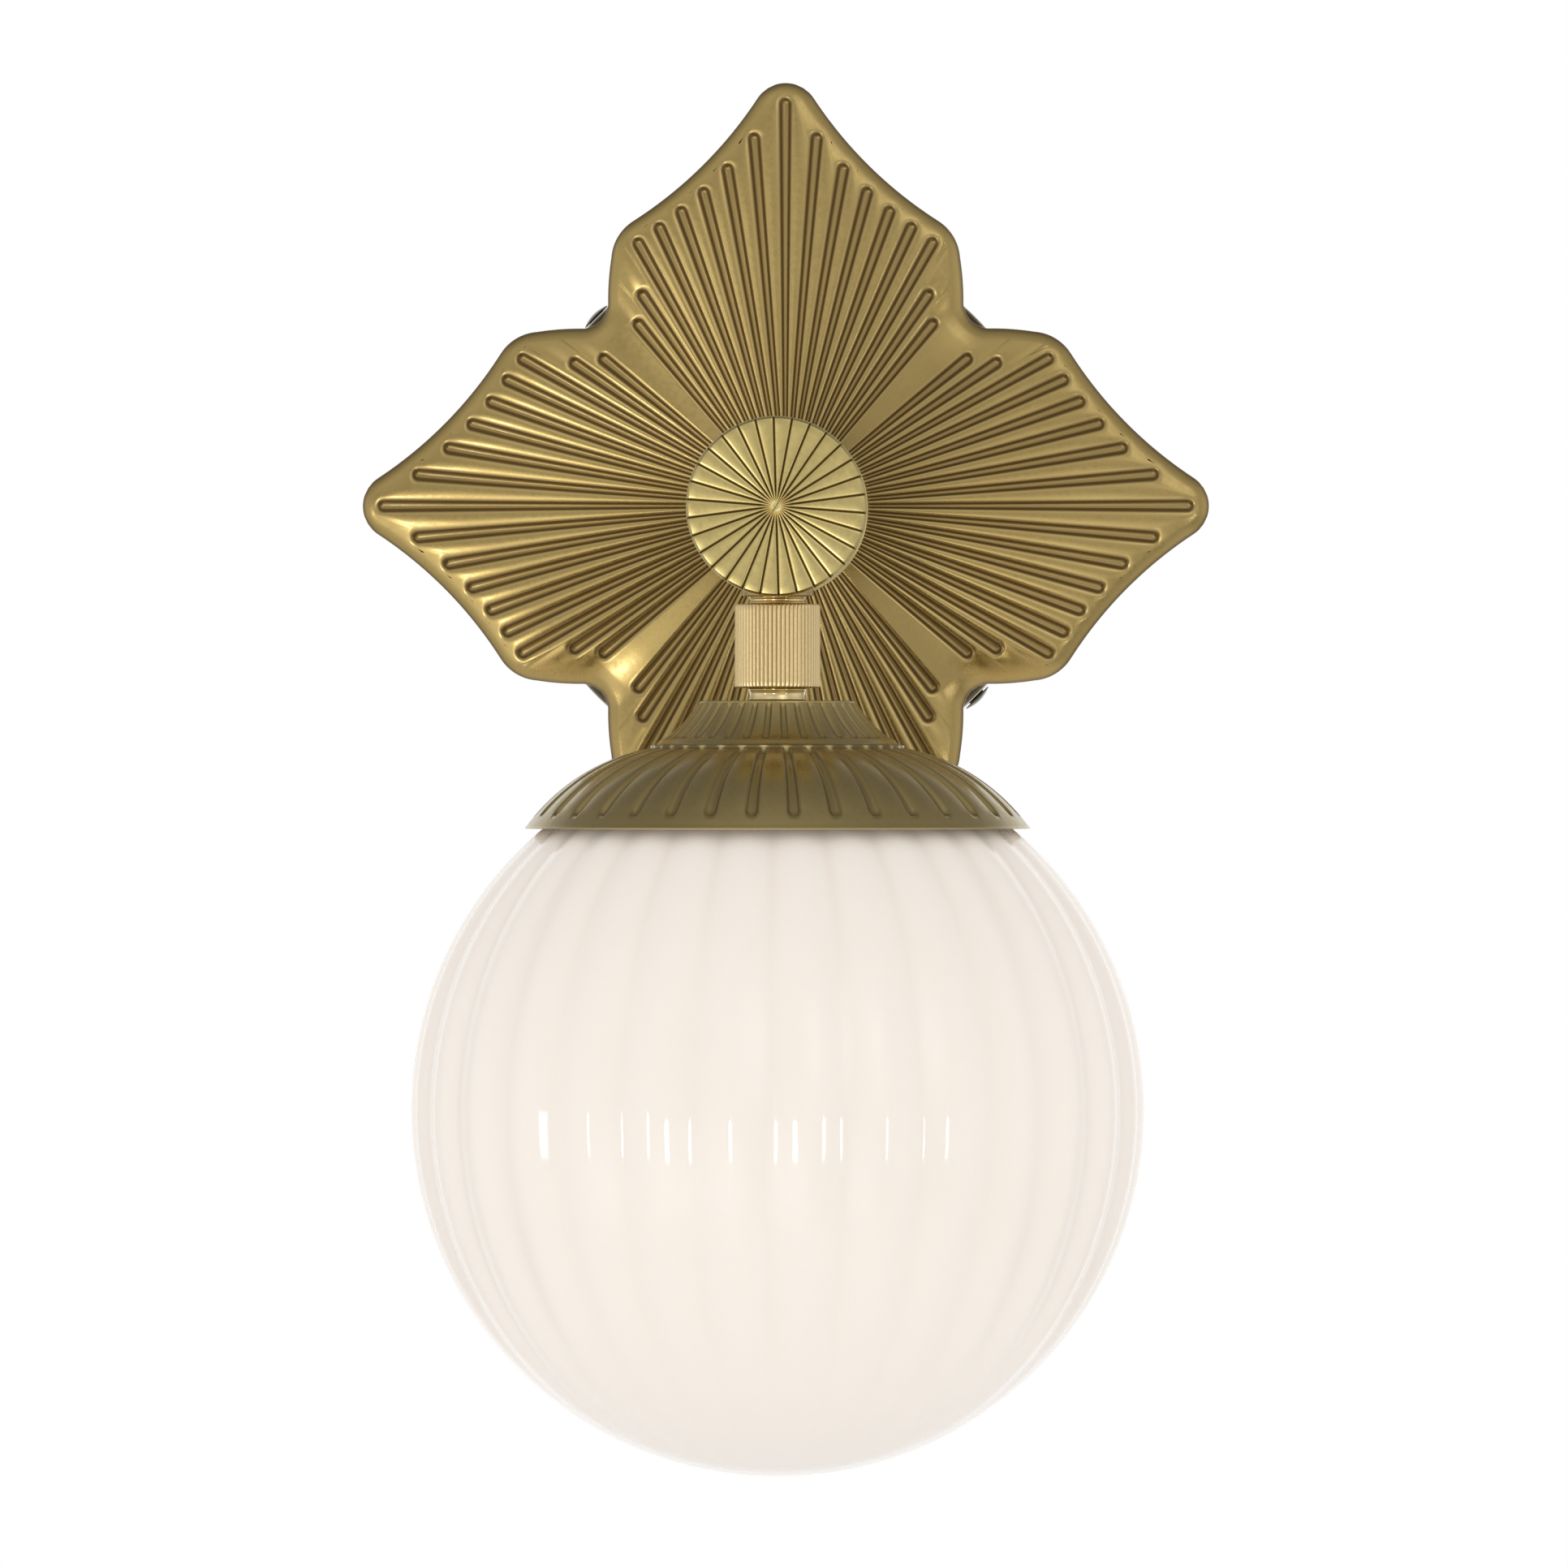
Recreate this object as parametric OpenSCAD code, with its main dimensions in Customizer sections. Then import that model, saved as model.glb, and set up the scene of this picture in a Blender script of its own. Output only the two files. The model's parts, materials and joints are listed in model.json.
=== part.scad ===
// Wall sconce: a fluted four-point brass backplate on a round pan, a short straight arm with a
// drum hub, and a stem that drops from the hub to a bell cap holding a ribbed opal globe.
// Millimetres. +Z is up, the wall is the plane Y = 0 and the fixture stands out along -Y.
// The origin is the centre of the bracket's face on the wall.
// What is drawn in a wall frame has X right, Y up and Z out of the wall.

/* [Wall pan and bracket] */
// Outer radius of the round pan
pan_r = 57.5; // [56:0.1:62]
// Depth of the pan, wall to front face
pan_d = 20; // [20:0.5:28]
// Wall thickness of the spun brass pan and cap
sheet_t = 1.2; // [0.8:0.1:1.5]
// Radius of the pan's rounded front edge
pan_edge_r = 4; // [2:0.5:6]
// Thickness of the steel bracket
bracket_t = 1.5; // [1:0.1:2.5]
// Gap between the bracket's edge and the pan's inner wall
bracket_gap = 2.2; // [1.5:0.1:3]
// Distance between the centres of the two fixing slots
slot_pitch = 88.9; // [83:0.1:90]
// Width of a fixing slot
slot_w = 4.6; // [4:0.1:5]
// End-to-end length of a fixing slot
slot_len = 13; // [8:0.5:14]
// Radius of the bracket's wire hole
wire_hole_r = 20; // [16:0.5:22]
// Radius of the ground screw's shank
ground_screw_r = 1.9; // [1.5:0.1:2.2]
// Radius of the two side screws' shanks
side_screw_r = 2; // [1.5:0.1:2.5]
// Radius of a side screw's head
side_head_r = 3.4; // [3:0.1:4]
// Height of a side screw's head
side_head_h = 1.3; // [1:0.1:3]
// Direction of the upper side screw, from +X
side_screw_turn = 135; // [130:1:140]

/* [Backplate] */
// Reach of each of the plate's four points
plate_reach = 90.6; // [86:0.1:100]
// Radius of a point's rounded end
tip_r = 7.2; // [6.8:0.1:8]
// Radius of the hollow flank behind a point
flank_r = 89.4; // [85:0.1:94]
// Radius of a rounded shoulder
shoulder_r = 10.1; // [9:0.1:11]
// Radius of the round notch between two arms
notch_r = 5.6; // [4.5:0.1:6.5]
// Slope of the outline where the point's end meets the flank
tip_turn = 33.3; // [32:0.1:35]
// Slope of the outline where the flank meets the shoulder
flank_turn = 57.5; // [56:0.1:59]
// Slope of the straight side between shoulder and notch
side_turn = 4.1; // [3:0.1:6]
// Depth of the plate's rim
plate_h = 6; // [5.4:0.1:9]
// Wall thickness of the cast plate
plate_wall = 3; // [2.6:0.1:3.4]
// Width and height of the plate's rounded front edge
plate_round = 2.4; // [1.2:0.1:3]
// Angle between neighbouring flutes
flute_pitch = 4.87; // [4.6:0.01:5]
// Flutes on each side of an arm's middle flute
flutes_per_side = 8; // [4:1:8]
// Width of a flute at its outer end
flute_w = 2.9; // [2:0.1:3.2]
// Width of a flute where it runs under the hub
flute_root_w = 1.1; // [0.8:0.1:1.4]
// Plain border between the flutes and the outline
flute_margin = 4.6; // [4:0.1:6]
// Plain border beside the plate's straight sides
side_margin = 7.6; // [6:0.1:9]
// Distance of the four plate screws from the centre
plate_screw_at = 34; // [28:0.5:38]
// Radius of a plate screw's shank
plate_screw_r = 1.6; // [1.4:0.1:2]

/* [Arm and hub] */
// Distance from the wall to the stem's axis
reach = 111; // [95:1:150]
// Drop of the arm's axis below the plate's centre
arm_drop = 2; // [0:0.5:4]
// Outer radius of the arm tube
arm_r = 8.5; // [8:0.1:10]
// Wall thickness of the arm tube
arm_wall = 2; // [1.2:0.1:2.4]
// Radius of the turned flange at the arm's root
flange_r = 16; // [13:0.5:17]
// Length of that flange
flange_l = 15; // [10:0.5:20]
// Outer radius of the hub
hub_r = 17.2; // [16:0.1:17.8]
// Length of the hub
hub_l = 24; // [22:0.5:30]
// Thickness of the hub's shell
hub_wall = 3.4; // [2.6:0.1:4]
// Radius of the disc that closes the hub
disc_r = 18.7; // [18:0.1:20]
// Thickness of that disc
disc_t = 3.4; // [2.5:0.1:5]
// Radial grooves in the disc
disc_grooves = 30; // [20:1:36]
// Depth of a groove at the disc's edge
disc_groove_d = 0.9; // [0.5:0.1:1.1]
// Radius of the disc's plain middle
disc_eye_r = 2.6; // [1.5:0.1:4]

/* [Stem] */
// Outer radius of the threaded nipples
nipple_r = 5; // [4.8:0.1:5.2]
// Bore radius of the threaded nipples
nipple_bore_r = 3.5; // [3.4:0.1:3.8]
// Radius of the collars above and below the ferrule
collar_r = 6.1; // [5.8:0.1:7]
// Height of the upper collar
upper_collar_h = 1.7; // [1:0.1:4]
// Height of the lower collar
lower_collar_h = 2.7; // [1.5:0.1:5]
// Radius of the fluted ferrule
ferrule_r = 8.9; // [8:0.1:12]
// Height of the ferrule
ferrule_h = 17.4; // [12:0.1:24]
// Flutes round the ferrule
ferrule_flutes = 60; // [30:1:64]

/* [Fitter cap] */
// Radius of the cap's flat top
cap_top_r = 16.2; // [15.6:0.1:17]
// Radius of the cap's middle ridge
ridge_r = 26.4; // [25.6:0.1:27]
// Outer radius of the cap's rim
rim_r = 52.6; // [51.8:0.1:53.4]
// Height of the ridge above the rim
ridge_h = 17.4; // [17:0.1:18]
// Height of the flared upper tier
tier_h = 9.2; // [9:0.1:10]
// Radius of the dome's rounding
dome_r = 41.4; // [41:0.1:42]
// Radius of the upper tier's hollow flare
flare_r = 25.7; // [25:0.1:27]
// Flutes round each tier of the cap
cap_flutes = 36; // [24:1:40]
// Depth of a cap flute
cap_flute_d = 0.55; // [0.3:0.05:0.7]
// Rounding of the dome's flutes
dome_flute_r = 1.6; // [1.2:0.1:1.8]
// Rounding of the flared tier's flutes
flare_flute_r = 1.1; // [0.8:0.1:1.3]
// Plain border above the cap's rim
cap_border = 2.6; // [1.5:0.1:5]

/* [Globe] */
// Outer radius of the globe
globe_r = 76.2; // [72:0.1:80]
// Thickness of the glass
glass_t = 3; // [2.4:0.1:3.4]
// Ribs round the globe
lobes = 30; // [16:1:32]
// Depth of the hollows between the ribs
lobe_d = 0.9; // [0.4:0.1:1.2]
// Gap between the globe and the cap's rim
rim_gap = 2.2; // [1.5:0.1:3]
// Outer radius of the globe's neck
neck_r = 39; // [37:0.1:39.6]
// Reach of a bayonet lug beyond the neck
lug_w = 2.6; // [2:0.1:2.9]
// Thickness of a bayonet lug
lug_h = 1.6; // [1.2:0.1:1.8]
// Angle that a lug spans
lug_span = 26; // [16:1:30]

/* [Lamp holder and bulb] */
// Radius of the lamp holder's body
holder_r = 19; // [18.4:0.1:20]
// Length of the lamp holder's body
holder_l = 34; // [32:0.5:38]
// Length of the lamp holder's cap
holder_cap_l = 19; // [18:0.5:24]
// Radius of the bulb's screw base
base_r = 13.1; // [12.8:0.1:13.2]
// Length of the bulb's screw base
base_l = 23; // [21:0.5:24]
// Radius of the bulb's glass
bulb_r = 30; // [22:0.5:32]
// Overall length of the bulb
bulb_l = 108; // [96:1:112]

/* [Wiring] */
// Radius of an insulated wire
wire_r = 1; // [0.8:0.05:1.1]
// Half the distance between the two wires in the arm
wire_x = 1.3; // [1.2:0.05:1.4]
// Bend radius of the wires in the hub
wire_bend = 7; // [5:0.5:7.5]
// Length of a twist-on wire connector
connector_l = 18; // [14:0.5:22]
// Larger radius of a wire connector
connector_r = 4.6; // [4:0.1:5]

/* [Clearances] */
// Play round a piece that is fixed in its seat
seat_gap = 0.05; // [0.03:0.01:0.1]
// Play round a screw that turns in its hole
run_gap = 0.06; // [0.03:0.01:0.1]
// Space between pieces that move past each other
swing_gap = 0.3; // [0.25:0.01:0.4]

/* [Hidden] */
$fn = 96;
// How far a cutting shape runs past the face it cuts
past = 1;
arm_z = -arm_drop;

// Pan and bracket
in_r = pan_r - sheet_t;
bracket_r = in_r - bracket_gap;
ear_w = 14;
ear_h = pan_d - sheet_t - 3;
side_screw_z = pan_d / 2;
side_hole_r = side_screw_r + 0.4;
pan_front = pan_d - sheet_t;
ground_at = 33;
ground_eye_t = 1.6;

// Nuts and washers on the two nipples
nut_af = 14;
nut_h = 4;
washer_t = 1.2;
lock_washer_r = 8.4;
cap_washer_r = 9.5;

// Backplate, with the height of its hub and bosses and the depth of their screw holes
plate_back = pan_d;
plate_front = pan_d + plate_h;
plate_hub_r = 15;
boss_r = 4.2;
boss_h = plate_h - 1;
boss_hole_h = plate_h - 1.9;
flute_root = disc_r - 1;
side_from = 32;

// Arm and hub
arm_nipple_back = pan_front - washer_t - nut_h - 2;
bush_lip = 1;
arm_bush_l = 12;
hub_back = reach - hub_l / 2;
hub_front = reach + hub_l / 2;
hub_in_r = hub_r - hub_wall;
hub_seat_h = hub_r + 1.2;
set_screw_r = 1.2;
spigot_l = 3;
rear_ring_l = 2.6;

// The stack on the stem, from the hub down
collar_top = arm_z - hub_seat_h;
ferrule_top = collar_top - upper_collar_h;
ferrule_low = ferrule_top - ferrule_h;
cap_top = ferrule_low - lower_collar_h;
rim_z = cap_top - tier_h - ridge_h;
cap_nut_low = cap_top - sheet_t - washer_t - nut_h;
stem_top = arm_z - hub_in_r + 1.5;
stem_low = cap_nut_low - 7.4;

// Cap: the centre of its dome's rounding and of its flare, and the inside of its rim
dome_x = rim_r - sqrt(dome_r * dome_r - pow(dome_y(), 2));
flare_x = cap_top_r + flare_r * cos(flare_tilt());
flare_y = ridge_h + tier_h + flare_r * sin(flare_tilt());
dome_in_r = dome_r - sheet_t;
cap_in_rim = dome_x + sqrt(dome_in_r * dome_in_r - pow(dome_y(), 2));

// Globe, its neck and lugs, and the ring that holds them
neck_gap = 0.85;
lug_gap = 0.55;
tab_t = 1;
ring_play = 1.2;
ring_t = 1;
globe_z = rim_z - sqrt(globe_r * globe_r - pow(cap_in_rim - rim_gap, 2));
shoulder_at = neck_r + 7.5;
shoulder_z = globe_z + sqrt(globe_r * globe_r - shoulder_at * shoulder_at);
neck_low = shoulder_z + 0.5;
neck_top = cap_in_z(neck_r) - neck_gap;
neck_in_r = neck_r - glass_t;
lug_out = neck_r + lug_w;
lug_top = cap_in_z(lug_out) - lug_gap;
lug_low = lug_top - lug_h;
tab_top = lug_low - swing_gap;
tab_low = tab_top - tab_t;
ring_in_r = lug_out + ring_play;
ring_out_r = ring_in_r + ring_t;

// Lamp holder
floor_t = 6;
shell_t = 0.5;
rivet_r = 2.3;
contact_r = 2.6;
contact_pad_r = 6;
contact_pad_t = 1;
contact_drop = 3.6;
terminal_x = 9;
terminal_h = 2;
terminal_r = 1.5;
terminal_deep = 3.6;
holder_top = cap_nut_low - 0.6;
holder_seat = holder_top - holder_cap_l;
holder_low = holder_seat - holder_l;
socket_top = holder_seat - floor_t;
shell_in_r = base_r + swing_gap;
contact_low = socket_top - contact_drop;

// Bulb
bulb_tip_h = 2.6;
bulb_top = contact_low - swing_gap;
base_top = bulb_top - bulb_tip_h;
base_low = base_top - base_l;
bulb_low = bulb_top - bulb_l;
bulb_z = bulb_low + bulb_r;

// Wires in the pan
wire_back_bend = 3;
wire_z = arm_nipple_back - bush_lip - wire_back_bend;
connector_in = 4;
connector_at = wire_hole_r - connector_in;
mouth_l = 2;

aged_brass = [0.60, 0.52, 0.33];
light_brass = [0.76, 0.69, 0.47];
dark_brass = [0.42, 0.36, 0.21];
bright_steel = [0.72, 0.73, 0.74];
opal_glass = [0.96, 0.92, 0.87];

// Height of the dome's centre of rounding, from the two ends of its arc
function dome_y() = let(
    dx = rim_r - ridge_r, dy = ridge_h - 0.6,
    half = norm([dx, dy]) / 2,
    back = sqrt(dome_r * dome_r - half * half)
) dy / 2 - back * dx / (2 * half);
// Slope of the flare where it leaves the cap's top
function flare_tilt() = let(
    dx = ridge_r - 0.9 - cap_top_r, dy = tier_h,
    half = norm([dx, dy]) / 2
) atan2(dx, dy) - asin(half / flare_r);
// Height of the inside of the cap's dome at a given radius
function cap_in_z(r) = rim_z + dome_y() + sqrt(dome_in_r * dome_in_r - pow(r - dome_x, 2));

// Turns a drawing in the wall frame to stand out of the wall
module off_wall(z = 0) {
    rotate([90, 0, 0]) translate([0, 0, z]) children();
}
// The arm's axis, in the wall frame, z from the wall
module on_arm(z = 0) {
    off_wall() translate([0, arm_z, z]) children();
}
// The stem's upright axis
module on_stem(z = 0) {
    translate([0, -reach, z]) children();
}
module ring(r_out, r_in, h) {
    difference() {
        cylinder(r = r_out, h = h);
        translate([0, 0, -past]) cylinder(r = r_in, h = h + 2 * past);
    }
}
module hex_nut(r_in, h) {
    difference() {
        cylinder(r = nut_af / sqrt(3), h = h, $fn = 6);
        translate([0, 0, -past]) cylinder(r = r_in, h = h + 2 * past);
    }
}
// A ring sector, turned about Z
module sector(r_in, r_out, h, span) {
    rotate([0, 0, -span / 2]) rotate_extrude(angle = span) translate([r_in, 0])
        square([r_out - r_in, h]);
}

// Outline of the backplate, drawn inset by d.
// One stretch of arc from point p: the slope runs from a to b, r is negative on hollow stretches
function bend(p, r, a, b, n) = [
    for (i = [1:n]) let(c = a + (b - a) * i / n) p + r * [sin(c) - sin(a), cos(c) - cos(a)]
];
function last(v) = v[len(v) - 1];
// An eighth of the outline, from the tip of an arm to the bottom of the notch on the diagonal
function octant(d) = let(
    tip = concat([[plate_reach - d, 0]], bend([plate_reach - d, 0], tip_r - d, 90, tip_turn, 5)),
    flank = bend(last(tip), -(flank_r + d), tip_turn, flank_turn, 4),
    shoulder = bend(last(flank), shoulder_r - d, flank_turn, side_turn, 5),
    turn = last(bend(last(shoulder), -(notch_r + d), side_turn, 45, 1)),
    run = (turn[0] - turn[1]) / (cos(side_turn) + sin(side_turn)),
    side = last(shoulder) + run * [-cos(side_turn), sin(side_turn)]
) concat(tip, flank, shoulder, [side], bend(side, -(notch_r + d), side_turn, 45, 3));
function spin(p, a) = [p[0] * cos(a) - p[1] * sin(a), p[0] * sin(a) + p[1] * cos(a)];
function plate_outline(d = 0) = let(
    one = octant(d),
    arm = concat(one, [for (i = [len(one) - 2:-1:1]) [one[i][1], one[i][0]]])
) [for (k = [0:3]) for (p = arm) spin(p, 90 * k)];
// Distance from the centre to the inset outline, in direction a from an arm's middle
function reach_at(a, d) = let(
    pts = octant(d),
    off = [for (p = pts) cos(a) * p[1] - sin(a) * p[0]],
    i = [for (k = [0:len(pts) - 2]) if (off[k] <= 0 && off[k + 1] > 0) k][0],
    t = off[i] / (off[i] - off[i + 1])
) norm(pts[i] + t * (pts[i + 1] - pts[i]));

module mounting_bracket() {
    ear_at = bracket_r - bracket_t;
    through = bracket_t + 2 * past;
    color("silver") off_wall() difference() {
        union() {
            cylinder(r = bracket_r, h = bracket_t);
            for (a = [0, 180]) rotate([0, 0, side_screw_turn + a])
                translate([ear_at, -ear_w / 2, 0]) cube([bracket_t, ear_w, ear_h]);
        }
        translate([0, 0, -past]) cylinder(r = wire_hole_r, h = through);
        for (s = [-1, 1]) translate([s * slot_pitch / 2, 0, -past]) {
            for (e = [-1, 1]) translate([e * (slot_len - slot_w) / 2, 0, 0])
                cylinder(r = slot_w / 2, h = through);
            translate([-(slot_len - slot_w) / 2, -slot_w / 2, 0])
                cube([slot_len - slot_w, slot_w, through]);
        }
        for (a = [0, 180]) rotate([0, 0, side_screw_turn + a])
            translate([ear_at - past, 0, side_screw_z]) rotate([0, 90, 0])
                cylinder(r = side_screw_r + run_gap, h = through);
        translate([0, -ground_at, -past]) cylinder(r = ground_screw_r + seat_gap, h = through);
    }
}

module ground_screw() {
    head_r = 4;
    head_h = 2;
    slot_d = 0.8;
    slot_half = 0.5;
    head_at = bracket_t + ground_eye_t;
    color("seagreen") off_wall() translate([0, -ground_at, 0]) difference() {
        union() {
            cylinder(r = ground_screw_r, h = head_at);
            translate([0, 0, head_at]) cylinder(r = head_r, h = head_h);
        }
        translate([-head_r - past, -slot_half, head_at + head_h - slot_d])
            cube([2 * (head_r + past), 2 * slot_half, slot_d + past]);
    }
}

// Half section of the pan, d in from its outer face
module pan_section(d) {
    r = pan_r - d;
    edge = pan_edge_r - d / 2;
    square([r - edge, pan_d - d]);
    square([r, pan_d - d - edge]);
    translate([r - edge, pan_d - d - edge]) intersection() {
        circle(r = edge);
        square(edge);
    }
}
module canopy_pan() {
    color(dark_brass) off_wall() difference() {
        rotate_extrude() pan_section(0);
        rotate_extrude() {
            pan_section(sheet_t);
            translate([0, -past]) square([in_r, 2 * past]);
        }
        translate([0, arm_z, 0]) cylinder(r = nipple_r + seat_gap, h = pan_d + past);
        for (a = [45:90:315]) rotate([0, 0, a]) translate([plate_screw_at, 0, 0])
            cylinder(r = plate_screw_r + swing_gap, h = pan_d + past);
        for (a = [0, 180]) rotate([0, 0, side_screw_turn + a])
            translate([in_r - past, 0, side_screw_z]) rotate([0, 90, 0])
                cylinder(r = side_hole_r, h = sheet_t + 2 * past);
    }
}

// A slotted screw along +X from the bracket's ear to just outside the pan
module side_screw(turn) {
    head_at = pan_r + swing_gap;
    shank_at = bracket_r - bracket_t - 4;
    slot_d = 0.6;
    slot_half = 0.4;
    chamfer = 0.5;
    color(light_brass) off_wall() rotate([0, 0, turn]) translate([0, 0, side_screw_z])
        rotate([0, 90, 0]) difference() {
            union() {
                translate([0, 0, shank_at]) cylinder(r = side_screw_r, h = head_at - shank_at);
                translate([0, 0, head_at])
                    cylinder(r1 = side_head_r, r2 = side_head_r - chamfer, h = side_head_h);
            }
            translate([-slot_half, -side_head_r, head_at + side_head_h - slot_d])
                cube([2 * slot_half, 2 * side_head_r, slot_d + past]);
        }
}
module side_screw_upper() {
    side_screw(side_screw_turn);
}
module side_screw_lower() {
    side_screw(side_screw_turn + 180);
}

// A flute along +X: a round channel that widens to its round outer end
module flute(end_at) {
    stop = end_at - flute_root;
    end_swell = 1.05;
    translate([flute_root, 0, 0]) rotate([0, 90, 0])
        cylinder(r1 = flute_root_w / 2, r2 = flute_w / 2, h = stop);
    translate([end_at, 0, 0]) sphere(r = flute_w / 2 * end_swell);
}
module backplate() {
    steps = 3;
    color(aged_brass) off_wall(plate_back) difference() {
        union() {
            difference() {
                union() {
                    linear_extrude(plate_h - plate_round) polygon(plate_outline(0));
                    for (i = [0:steps - 1]) let(
                        low = plate_h - plate_round + plate_round * sin(90 * i / steps),
                        high = plate_h - plate_round + plate_round * sin(90 * (i + 1) / steps),
                        inset = plate_round * (1 - cos(90 * (i + 0.6) / steps))
                    ) translate([0, 0, low]) linear_extrude(high - low)
                        polygon(plate_outline(inset));
                }
                translate([0, 0, -past]) linear_extrude(plate_h - plate_wall + past)
                    polygon(plate_outline(plate_wall));
            }
            translate([0, arm_z, 0]) cylinder(r = plate_hub_r, h = boss_h);
            for (a = [45:90:315]) rotate([0, 0, a]) translate([plate_screw_at, 0, 0])
                cylinder(r = boss_r, h = boss_h);
        }
        translate([0, arm_z, -past]) cylinder(r = nipple_r + seat_gap, h = plate_h + 2 * past);
        for (a = [45:90:315]) rotate([0, 0, a]) translate([plate_screw_at, 0, -past])
            cylinder(r = plate_screw_r + seat_gap, h = boss_hole_h + past);
        translate([0, 0, plate_h]) for (arm = [0:90:270])
            for (k = [-flutes_per_side:flutes_per_side]) let(
                a = abs(k) * flute_pitch,
                margin = a > side_from ? side_margin : flute_margin
            ) rotate([0, 0, arm + k * flute_pitch]) flute(reach_at(a, margin));
    }
}
module plate_screws() {
    head_r = 3.2;
    head_h = 2;
    tip = plate_back + boss_hole_h - swing_gap;
    color("silver") off_wall() for (a = [45:90:315]) rotate([0, 0, a])
        translate([plate_screw_at, 0, 0]) {
            translate([0, 0, pan_front - head_h]) cylinder(r = head_r, h = head_h);
            translate([0, 0, pan_front]) cylinder(r = plate_screw_r, h = tip - pan_front);
        }
}

module arm_flange() {
    neck = arm_r + 2;
    cove = flange_r - neck - 0.5;
    foot = 2;
    bead = 1.9;
    color(light_brass) on_arm(plate_front) rotate_extrude() difference() {
        union() {
            square([flange_r, foot]);
            difference() {
                translate([0, foot]) square([neck + cove, cove]);
                translate([neck + cove, foot + cove]) circle(r = cove);
            }
            square([neck, flange_l - bead]);
            translate([neck - 0.4, flange_l - bead]) circle(r = bead);
        }
        translate([-past, -past]) square([arm_r + seat_gap + past, flange_l + 2 * past]);
    }
}
module arm_tube() {
    color(aged_brass) on_arm(plate_front)
        ring(arm_r, arm_r - arm_wall, hub_back + hub_wall + 1 - plate_front);
}
module arm_end_bush() {
    color(dark_brass) on_arm(plate_front)
        ring(arm_r - arm_wall - seat_gap, nipple_r + seat_gap, arm_bush_l);
}
module arm_nipple() {
    color("silver") on_arm(arm_nipple_back)
        ring(nipple_r, nipple_bore_r, plate_front + arm_bush_l - 1 - arm_nipple_back);
}
module arm_lock_washer() {
    color(bright_steel) on_arm(pan_front - washer_t)
        ring(lock_washer_r, nipple_r + seat_gap, washer_t);
}
module arm_locknut() {
    color("silver") on_arm(pan_front - washer_t - nut_h) hex_nut(nipple_r + seat_gap, nut_h);
}

module hub_body() {
    seat_rim = 1.4;
    color(aged_brass) on_arm() difference() {
        union() {
            translate([0, 0, hub_back]) cylinder(r = hub_r, h = hub_l);
            translate([0, 0, reach]) rotate([90, 0, 0])
                cylinder(r = collar_r + seat_rim, h = hub_seat_h);
        }
        translate([0, 0, hub_back + hub_wall]) cylinder(r = hub_in_r, h = hub_l);
        translate([0, 0, hub_back - past]) cylinder(r = arm_r + seat_gap, h = hub_l);
        translate([0, 0, reach]) rotate([90, 0, 0])
            cylinder(r = nipple_r + seat_gap, h = hub_seat_h + past);
        translate([0, 0, hub_back + hub_wall / 2]) rotate([90, 0, 0])
            cylinder(r = set_screw_r + seat_gap, h = hub_r + past);
    }
}
module hub_disc() {
    edge = 0.8;
    cutter = 1.24;
    groove_fall = atan2(disc_groove_d, disc_r - disc_eye_r);
    color(light_brass) on_arm(hub_front) difference() {
        union() {
            translate([0, 0, -spigot_l]) cylinder(r = hub_in_r - seat_gap, h = spigot_l);
            cylinder(r = disc_r, h = disc_t - edge);
            translate([0, 0, disc_t - edge]) cylinder(r1 = disc_r, r2 = disc_r - edge, h = edge);
        }
        for (k = [0:disc_grooves - 1]) rotate([0, 0, (k + 0.5) * 360 / disc_grooves])
            translate([disc_eye_r, 0, disc_t]) rotate([0, groove_fall, 0]) rotate([45, 0, 0])
                translate([0, -cutter / 2, -cutter / 2]) cube([disc_r, cutter, cutter]);
        translate([0, 0, -spigot_l - past]) cylinder(r = hub_in_r - hub_wall, h = spigot_l + past);
    }
}
module hub_rear_ring() {
    edge = 1;
    color(light_brass) on_arm(hub_back - rear_ring_l) difference() {
        union() {
            translate([0, 0, edge]) cylinder(r = disc_r, h = rear_ring_l - edge);
            cylinder(r1 = disc_r - edge, r2 = disc_r, h = edge);
        }
        translate([0, 0, -past]) cylinder(r = arm_r + seat_gap, h = rear_ring_l + 2 * past);
    }
}
module hub_set_screw() {
    color("silver") on_arm(hub_back + hub_wall / 2) rotate([90, 0, 0])
        translate([0, 0, arm_r + seat_gap]) cylinder(r = set_screw_r, h = hub_r - arm_r - 1);
}

module upper_collar() {
    color(light_brass) on_stem(ferrule_top) ring(collar_r, nipple_r + seat_gap, upper_collar_h);
}
module ferrule() {
    bead = 1.2;
    flute_r = ferrule_r * PI / ferrule_flutes * 0.75;
    color(light_brass) on_stem(ferrule_low) difference() {
        union() {
            for (z = [0, ferrule_h - bead]) translate([0, 0, z])
                cylinder(r = ferrule_r - 0.3, h = bead);
            translate([0, 0, bead]) linear_extrude(ferrule_h - 2 * bead) difference() {
                circle(r = ferrule_r);
                for (k = [0:ferrule_flutes - 1]) rotate(360 * k / ferrule_flutes)
                    translate([ferrule_r + 0.05, 0]) circle(r = flute_r);
            }
        }
        translate([0, 0, -past]) cylinder(r = nipple_r + seat_gap, h = ferrule_h + 2 * past);
    }
}
module lower_collar() {
    color(light_brass) on_stem(cap_top) ring(collar_r, nipple_r + seat_gap, lower_collar_h);
}
module stem_nipple() {
    color("silver") on_stem(stem_low) ring(nipple_r, nipple_bore_r, stem_top - stem_low);
}

// Half section of the cap, d in from its outer face, from height low up
module cap_section(d, low) {
    top = ridge_h - d;
    intersection() {
        translate([dome_x, dome_y()]) circle(r = dome_r - d);
        translate([0, low]) square([rim_r + past, top - low]);
    }
    translate([0, low]) square([dome_x + past, top - low]);
    difference() {
        square([ridge_r - d, top + tier_h]);
        translate([flare_x, flare_y]) circle(r = flare_r + d);
    }
}
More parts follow.
